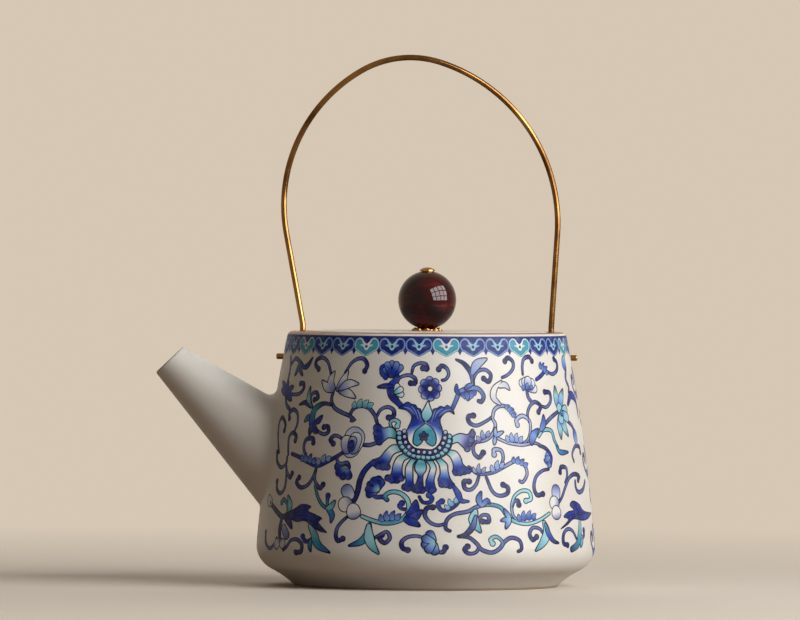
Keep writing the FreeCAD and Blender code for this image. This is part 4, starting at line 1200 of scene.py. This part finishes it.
hook(right, [(0.5, 16.5), (0.8, 16.8), (0.6, 17.2), (-0.1, 17.2), (-0.5, 16.6)], (COBALT, INDIGO))
print("strokes so far", count_strokes())

# %% Right scroll, aster at the edge
spray(right, (13.6, 8.1), (13.4, 8.1), ((13.0, 5.5), (13.8, 5.8), (13.7, 10.8), (14.4, 10.5)), 1.6,
      (COBALT, SKY, TEAL_PALE, INDIGO), layers=2)
ASTER_MIDDLE, ASTER_EDGES = (13.7, 8.2), ((13.3, 7.3), (14.2, 7.7), (14.4, 8.8), (13.6, 9.2))
for k, edge in enumerate(ASTER_EDGES):
    oval(right, ASTER_MIDDLE, edge, 1.5, (TEAL, TEAL_PALE, PALE), 3 + k)
dot(right(*ASTER_MIDDLE), 0.9, (COBALT, SKY), 7)
leaf(right, [(14.3, 7.4), (14.6, 6.4), (15.1, 7.0), (15.4, 8.7)], 1.2, (INDIGO, COBALT, INK))
vine(right, [(14.3, 9.0), (14.7, 9.4), (15.0, 10.0)], width=0.5)
leaf(right, [(14.9, 9.8), (15.1, 10.6), (15.2, 11.4)], 1.8, (COBALT, SKY, PALE))
hook(right, [(15.6, 12.1), (15.5, 11.6), (15.1, 11.5), (14.8, 12.3), (15.0, 13.1)])
print("strokes so far", count_strokes())

# %% [markdown]
# ## Stem at the sides
# The drawing covers the half that faces the viewer and is turned once for the other half. Where
# the two halves meet, at the spout and opposite it, a stem joins them, with two hooks, a leaf and a
# comb at each bend. Its sheet lies flat on the wall there, with its middle line halfway between
# the drawings.

# %% Side stem
def side(x, y):
    """A spot of the side sheet, in squares from its middle line."""
    return Vector((SHEET_RADIUS * math.pi / 2 + x * SQUARE, SHEET_TOP - y * SQUARE))


SIDE_BENDS, SIDE_TOP, BEND_PITCH = 5, 2.9, 3.9
for k in range(SIDE_BENDS):
    top = SIDE_TOP + BEND_PITCH * k
    way = 1 if k % 2 else -1
    vine(side, [(0.0, top), (way * 0.9, top + BEND_PITCH / 2), (0.0, top + BEND_PITCH)], width=0.6)
    hook(side, [(-way * 1.0, top + 2.4), (-way * 1.5, top + 2.0), (-way * 1.3, top + 1.3),
                (-way * 0.6, top + 1.2), (way * 0.3, top + 0.8)])
    leaf(side, [(way * 0.8, top + 2.0), (way * 1.5, top + 1.7), (way * 1.9, top + 0.7)], 1.0,
         (TEAL, SKY, COBALT))
    hook(side, [(way * 2.5, top + 2.2), (way * 2.6, top + 1.7), (way * 3.2, top + 1.6),
                (way * 3.5, top + 2.3), (way * 2.9, top + 3.1), (way * 1.8, top + 3.3),
                (way * 0.6, top + 2.8)])
    comb(side, (way * 1.2, top + 3.2), (way * 2.3, top + 3.2), -90, 1.9, 3, (SKY, COBALT))
print("strokes so far", count_strokes())

# %% [markdown]
# ## Enamel
# Cobalt sinks into the glaze and turquoise lies on it, both with nearly the same gloss as the pot.
# The colour comes from the stroke itself, and a fine noise makes it thicker and thinner as a wet
# brush does.

# %% Enamel material
WASHED_OUT = srgb(206, 214, 232)


def enamel(name):
    """Paint in the strokes' own colours, a little paler where the wash is thin."""
    finish = Finish(name, Specular_IOR_Level=0.15)
    place = finish.add("TexCoord", output="Object")
    paint = finish.add("Attribute", settings={"attribute_name": "paint"})
    wash = finish.add("TexNoise", Vector=place, Scale=420.0, Detail=3.0)
    thin = finish.step(wash, 0.45, 0.75, 0.0, 0.1)
    finish.feed(
        Base_Color=finish.mix(thin, paint, WASHED_OUT),
        Roughness=finish.step(wash, 0.3, 0.7, 0.42, 0.5),
    )
    return finish.material


blue_enamel = enamel("blue_enamel")
print("made", blue_enamel.name)

# %% [markdown]
# ## Wrapping the drawing
# The flat sheet is bent round the wall: distance across becomes an angle, and the pot's own radius
# at that height puts each point on the glaze. One drawing covers half of the pot, so it is
# turned once to go all the way round. What would lie under the spout's root or over a hole for
# the bail is left out.

# %% Wrap, repeat and trim
SPOUT_HEIGHT, SPOUT_LEAN, SPOUT_LENGTH = 48.0 * MM, math.radians(49.8), 44.8 * MM
SPOUT_ROOT, SPOUT_TIP, SPOUT_FILLET = 15.3 * MM, 6.3 * MM, 2.6 * MM
BAIL_HEIGHT, BAIL_CLEAR = 78.4 * MM, 1.9 * MM
spout_base = Vector((-wall_radius(SPOUT_HEIGHT), 0, SPOUT_HEIGHT))
spout_axis = Vector((-math.sin(SPOUT_LEAN), 0, math.cos(SPOUT_LEAN)))


def bare(place):
    """True where the spout or an end of the bail comes through the painted wall."""
    along = (place - spout_base).dot(spout_axis)
    off = (place - spout_base - spout_axis * along).length
    cone = SPOUT_ROOT - (SPOUT_ROOT - SPOUT_TIP) * along / SPOUT_LENGTH
    at_spout = place.x < 0 and off < cone + SPOUT_FILLET
    at_bail = math.hypot(place.y, place.z - BAIL_HEIGHT) < BAIL_CLEAR
    return at_spout or at_bail


def wrap(sheet):
    """Bends a flat sheet round the pot."""
    for point in sheet.verts:
        across, height, lift = point.co
        radius = wall_radius(height) + lift
        angle = across / SHEET_RADIUS
        point.co = (radius * math.sin(angle), -radius * math.cos(angle), height)


def hang(name, sheet):
    """Makes a painted sheet a piece of the pot."""
    hidden = [face for face in sheet.faces if bare(face.calc_center_median())]
    bmesh.ops.delete(sheet, geom=hidden, context="FACES")
    piece = add_piece(name, sheet, blue_enamel)
    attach(piece, "pot")


HALF_TURN = Matrix.Rotation(math.pi, 3, "Z")
scroll = canvas.lift_off()
wrap(scroll)
back = scroll.copy()
bmesh.ops.rotate(back, verts=back.verts, matrix=HALF_TURN)
hang("scroll_front", scroll)
hang("scroll_back", back)

# %% [markdown]
# ## Border of cloud heads
# Under the rim runs a border of cloud heads: a lobed head with two inner curls, cobalt twice and
# then turquoise, on a dark band, with a small dart hanging between each pair. One set of three is
# drawn and repeated round the rim.

# %% Cloud head border
HEADS_IN_SET, HEAD_SETS, HEAD_SHIFT = 3, 11, 0.7
BAND_TOP, BAND_HEIGHT = 85.6 * MM, 6.2 * MM
HEAD_LINE, CURL_LINE = 0.25, 0.12 * MM
BOTH_SIDES, MIDDLE = (1, -1), (1,)
head_pitch = 2 * math.pi * SHEET_RADIUS / (HEADS_IN_SET * HEAD_SETS)
canvas = Canvas()


def head_spot(middle, x, y):
    """A place in one head: x from its middle in half pitches, y down from the band's top."""
    return Vector((middle + x * head_pitch / 2, BAND_TOP - y * BAND_HEIGHT))


def head_stroke(middle, spots, widths, colours, layer, outline=0.0, sides=BOTH_SIDES):
    """A stroke of one head, mirrored on its other half unless it lies in the middle."""
    for hand in sides:
        knots = [head_spot(middle, x * hand, y) for x, y in spots]
        canvas.stroke(knots, widths, colours, layer, outline)


def head_ground(middle):
    """The dark band behind one head, and the dart that hangs beside it."""
    ground = (ROYAL, ROYAL)
    head_stroke(middle, [(-1.35, 0.2), (0, 0.2), (1.35, 0.2)], (1.75, 1.75), ground, 0, sides=MIDDLE)
    head_stroke(middle, [(1, 0.3), (1, 0.6), (1, 0.94)], (1.9, 1.6, 0.8, 0.05), ground, 0,
                sides=MIDDLE)


def head_lobes(middle, grow, colour, layer):
    """The two side lobes and the pointed middle lobe of one head, in one colour."""
    shade = (colour, colour)
    head_stroke(middle, [(0.3, 0.42), (0.6, 0.37), (0.93, 0.36)], (1.75 + grow, 1.75 + grow),
                shade, layer)
    head_stroke(middle, [(0, 0.3), (0, 0.66), (0, 0.98 + grow * 0.12)],
                (2.0 + grow, 3.2 + grow, 2.75 + grow, 0.1), shade, layer, sides=MIDDLE)


def cloud_head(middle, body, light, pale):
    """One head on its ground: lobes with an ink line, an edging, two curls and an eye."""
    head_ground(middle)
    head_lobes(middle, HEAD_LINE, INK, 1)
    head_lobes(middle, 0.0, body, 2)
    head_stroke(middle, [(0.0, 0.99), (0.36, 0.85), (0.6, 0.73), (0.84, 0.64), (0.94, 0.42),
                         (0.88, 0.19), (0.64, 0.07), (0.39, 0.12), (0.27, 0.27), (0.1, 0.4)],
                (0.2, 0.25, 0.27, 0.27, 0.27, 0.3, 0.5), (light, light, light, pale), 3, CURL_LINE)
    head_stroke(middle, [(0.52, 0.43), (0.36, 0.43), (0.1, 0.48)], (0.24, 0.4, 0.55), (light, pale), 4)
    head_stroke(middle, [(0, 0.34), (0, 0.5), (0, 0.7)], (1.0, 1.05, 0.75), (pale, pale), 5,
                sides=MIDDLE)
    head_stroke(middle, [(0, 0.4), (0, 0.49), (0, 0.58)], (0.58, 0.58), (body, INK), 6, sides=MIDDLE)


for k in range(HEADS_IN_SET):
    tints = (TEAL, TEAL_PALE, BLANK) if k == 1 else (ROYAL, SKY, TEAL_PALE)
    cloud_head((k - 1 + HEAD_SHIFT) * head_pitch, *tints)
border = canvas.lift_off()
wrap(border)
repeat_round(border, HEAD_SETS)
hang("cloud_border", border)

# %% [markdown]
# ## Floor
# The pot stands on a plain pale floor that fades into an even ground a little way off, so no
# horizon cuts the picture. A floor and backdrop bright enough to look pale would also light the
# pot. So the pale tones are for rays that come from the camera or from polished and clear pieces,
# and all other rays meet a darker floor and a dim room.

# %% Floor
FLOOR_HALF = 6000 * MM
FLOOR_FADE = (160 * MM, 620 * MM)
FLOOR_SEEN, FLOOR_BOUNCE = srgb(232, 220, 204), srgb(140, 120, 100)
GROUND = srgb(214, 199, 180)
SEEN_RAYS = ("Is Camera Ray", "Is Glossy Ray", "Is Transmission Ray")


def seen_rays(nodes):
    """1 for rays from the camera and for those that polished pieces send out, and 0 for light."""
    camera_ray, glossy_ray, through_ray = [nodes.add("LightPath", output=ray) for ray in SEEN_RAYS]
    return 1 - (1 - camera_ray) * (1 - glossy_ray) * (1 - through_ray)


def pale_paper(name):
    """The floor's material, which turns into the even ground with distance."""
    finish = Finish(name, Roughness=0.8)
    seen = seen_rays(finish)
    place = finish.add("TexCoord", output="Object")
    away = finish.add("VectorMath", output="Value", settings={"operation": "LENGTH"}, at={0: place})
    finish.feed(Base_Color=finish.mix(seen, FLOOR_BOUNCE, FLOOR_SEEN))
    even = finish.add("Emission", Color=GROUND)
    fade = finish.step(away, *FLOOR_FADE) * seen
    surface = Value(finish.tree, finish.shader.outputs["BSDF"])
    blend = finish.add("MixShader", at={0: fade, 1: surface, 2: even})
    plug(finish.tree, blend, finish.tree.nodes["Material Output"].inputs["Surface"])
    return finish.material


floor_grid = bmesh.new()
bmesh.ops.create_grid(floor_grid, x_segments=1, y_segments=1, size=FLOOR_HALF)
floor = add_piece("floor", floor_grid, pale_paper("pale_paper"))

# %% [markdown]
# ## Light
# A window with glazing bars stands at the right front and leaves the spout's side in shade. Each
# pane is a soft lamp of its own, so the bars between them stay dark. The window is made twice: the
# daylight panes light the pot and aren't mirrored, and the larger glint panes, a little nearer,
# show only in the glaze, the wire and the polished bead. A weak skylight softens the shade, and a
# lamp behind the pot keeps its far side clear.

# %% Lamps
LIT_POINT = Vector((0, 0, 60)) * MM
WINDOW_PLACE = Vector((0.92, -0.66, 0.6))
WINDOW_COLUMNS, WINDOW_ROWS = 4, 3
WINDOW_TINT = (0.955, 0.97, 0.985)
SKYLIGHT_PLACE, SKYLIGHT_TINT = Vector((-0.35, -0.35, 1.25)), (1.0, 0.96, 0.9)
BACK_PLACE, BACK_TINT = Vector((0.1, 1.25, 0.75)), (1.0, 0.97, 0.94)


def lamp(name, place, target, width, height, power, colour):
    """A soft rectangular lamp that faces its target."""
    data = bpy.data.lights.new(name, "AREA")
    data.shape = "RECTANGLE"
    data.size = width
    data.size_y = height
    data.energy = power
    data.color = colour
    item = bpy.data.objects.new(name, data)
    item.location = place
    item.rotation_euler = (target - place).to_track_quat("-Z", "Y").to_euler()
    scene.collection.objects.link(item)
    return item


def window(name, nearer, pane_width, pane_height, bar, power):
    """Lamps for the panes of a window, with dark glazing bars between them."""
    middle = WINDOW_PLACE + (LIT_POINT - WINDOW_PLACE).normalized() * nearer
    facing = (LIT_POINT - WINDOW_PLACE).to_track_quat("-Z", "Y").to_matrix()
    share = power / (WINDOW_COLUMNS * WINDOW_ROWS)
    panes = []
    for column in range(WINDOW_COLUMNS):
        for row in range(WINDOW_ROWS):
            x = (column - (WINDOW_COLUMNS - 1) / 2) * (pane_width + bar)
            y = (row - (WINDOW_ROWS - 1) / 2) * (pane_height + bar)
            offset = facing @ Vector((x, y, 0))
            panes.append(lamp(name, middle + offset, LIT_POINT + offset,
                              pane_width, pane_height, share, WINDOW_TINT))
    return panes


for pane in window("daylight", nearer=0.0, pane_width=0.22, pane_height=0.24, bar=0.045, power=15.4):
    pane.visible_glossy = False
for pane in window("glint", nearer=0.03, pane_width=0.33, pane_height=0.34, bar=0.06, power=54.0):
    pane.visible_diffuse = False
skylight = lamp("skylight", SKYLIGHT_PLACE, LIT_POINT, width=0.6, height=0.6, power=1.0,
                colour=SKYLIGHT_TINT)
skylight.visible_glossy = False
back_light = lamp("back_light", BACK_PLACE, LIT_POINT, width=1.2, height=0.8, power=6.0,
                  colour=BACK_TINT)
back_light.visible_glossy = False

# %% World
ROOM_LEVEL = 0.05
world = bpy.data.worlds.new("studio")
scene.world = world
world.use_nodes = True
backdrop = world.node_tree.nodes["Background"]
backdrop.inputs["Color"].default_value = GROUND
sky = Nodes(world.node_tree)
plug(sky.tree, ROOM_LEVEL + seen_rays(sky) * (1 - ROOM_LEVEL), backdrop.inputs["Strength"])
print("room level", ROOM_LEVEL)
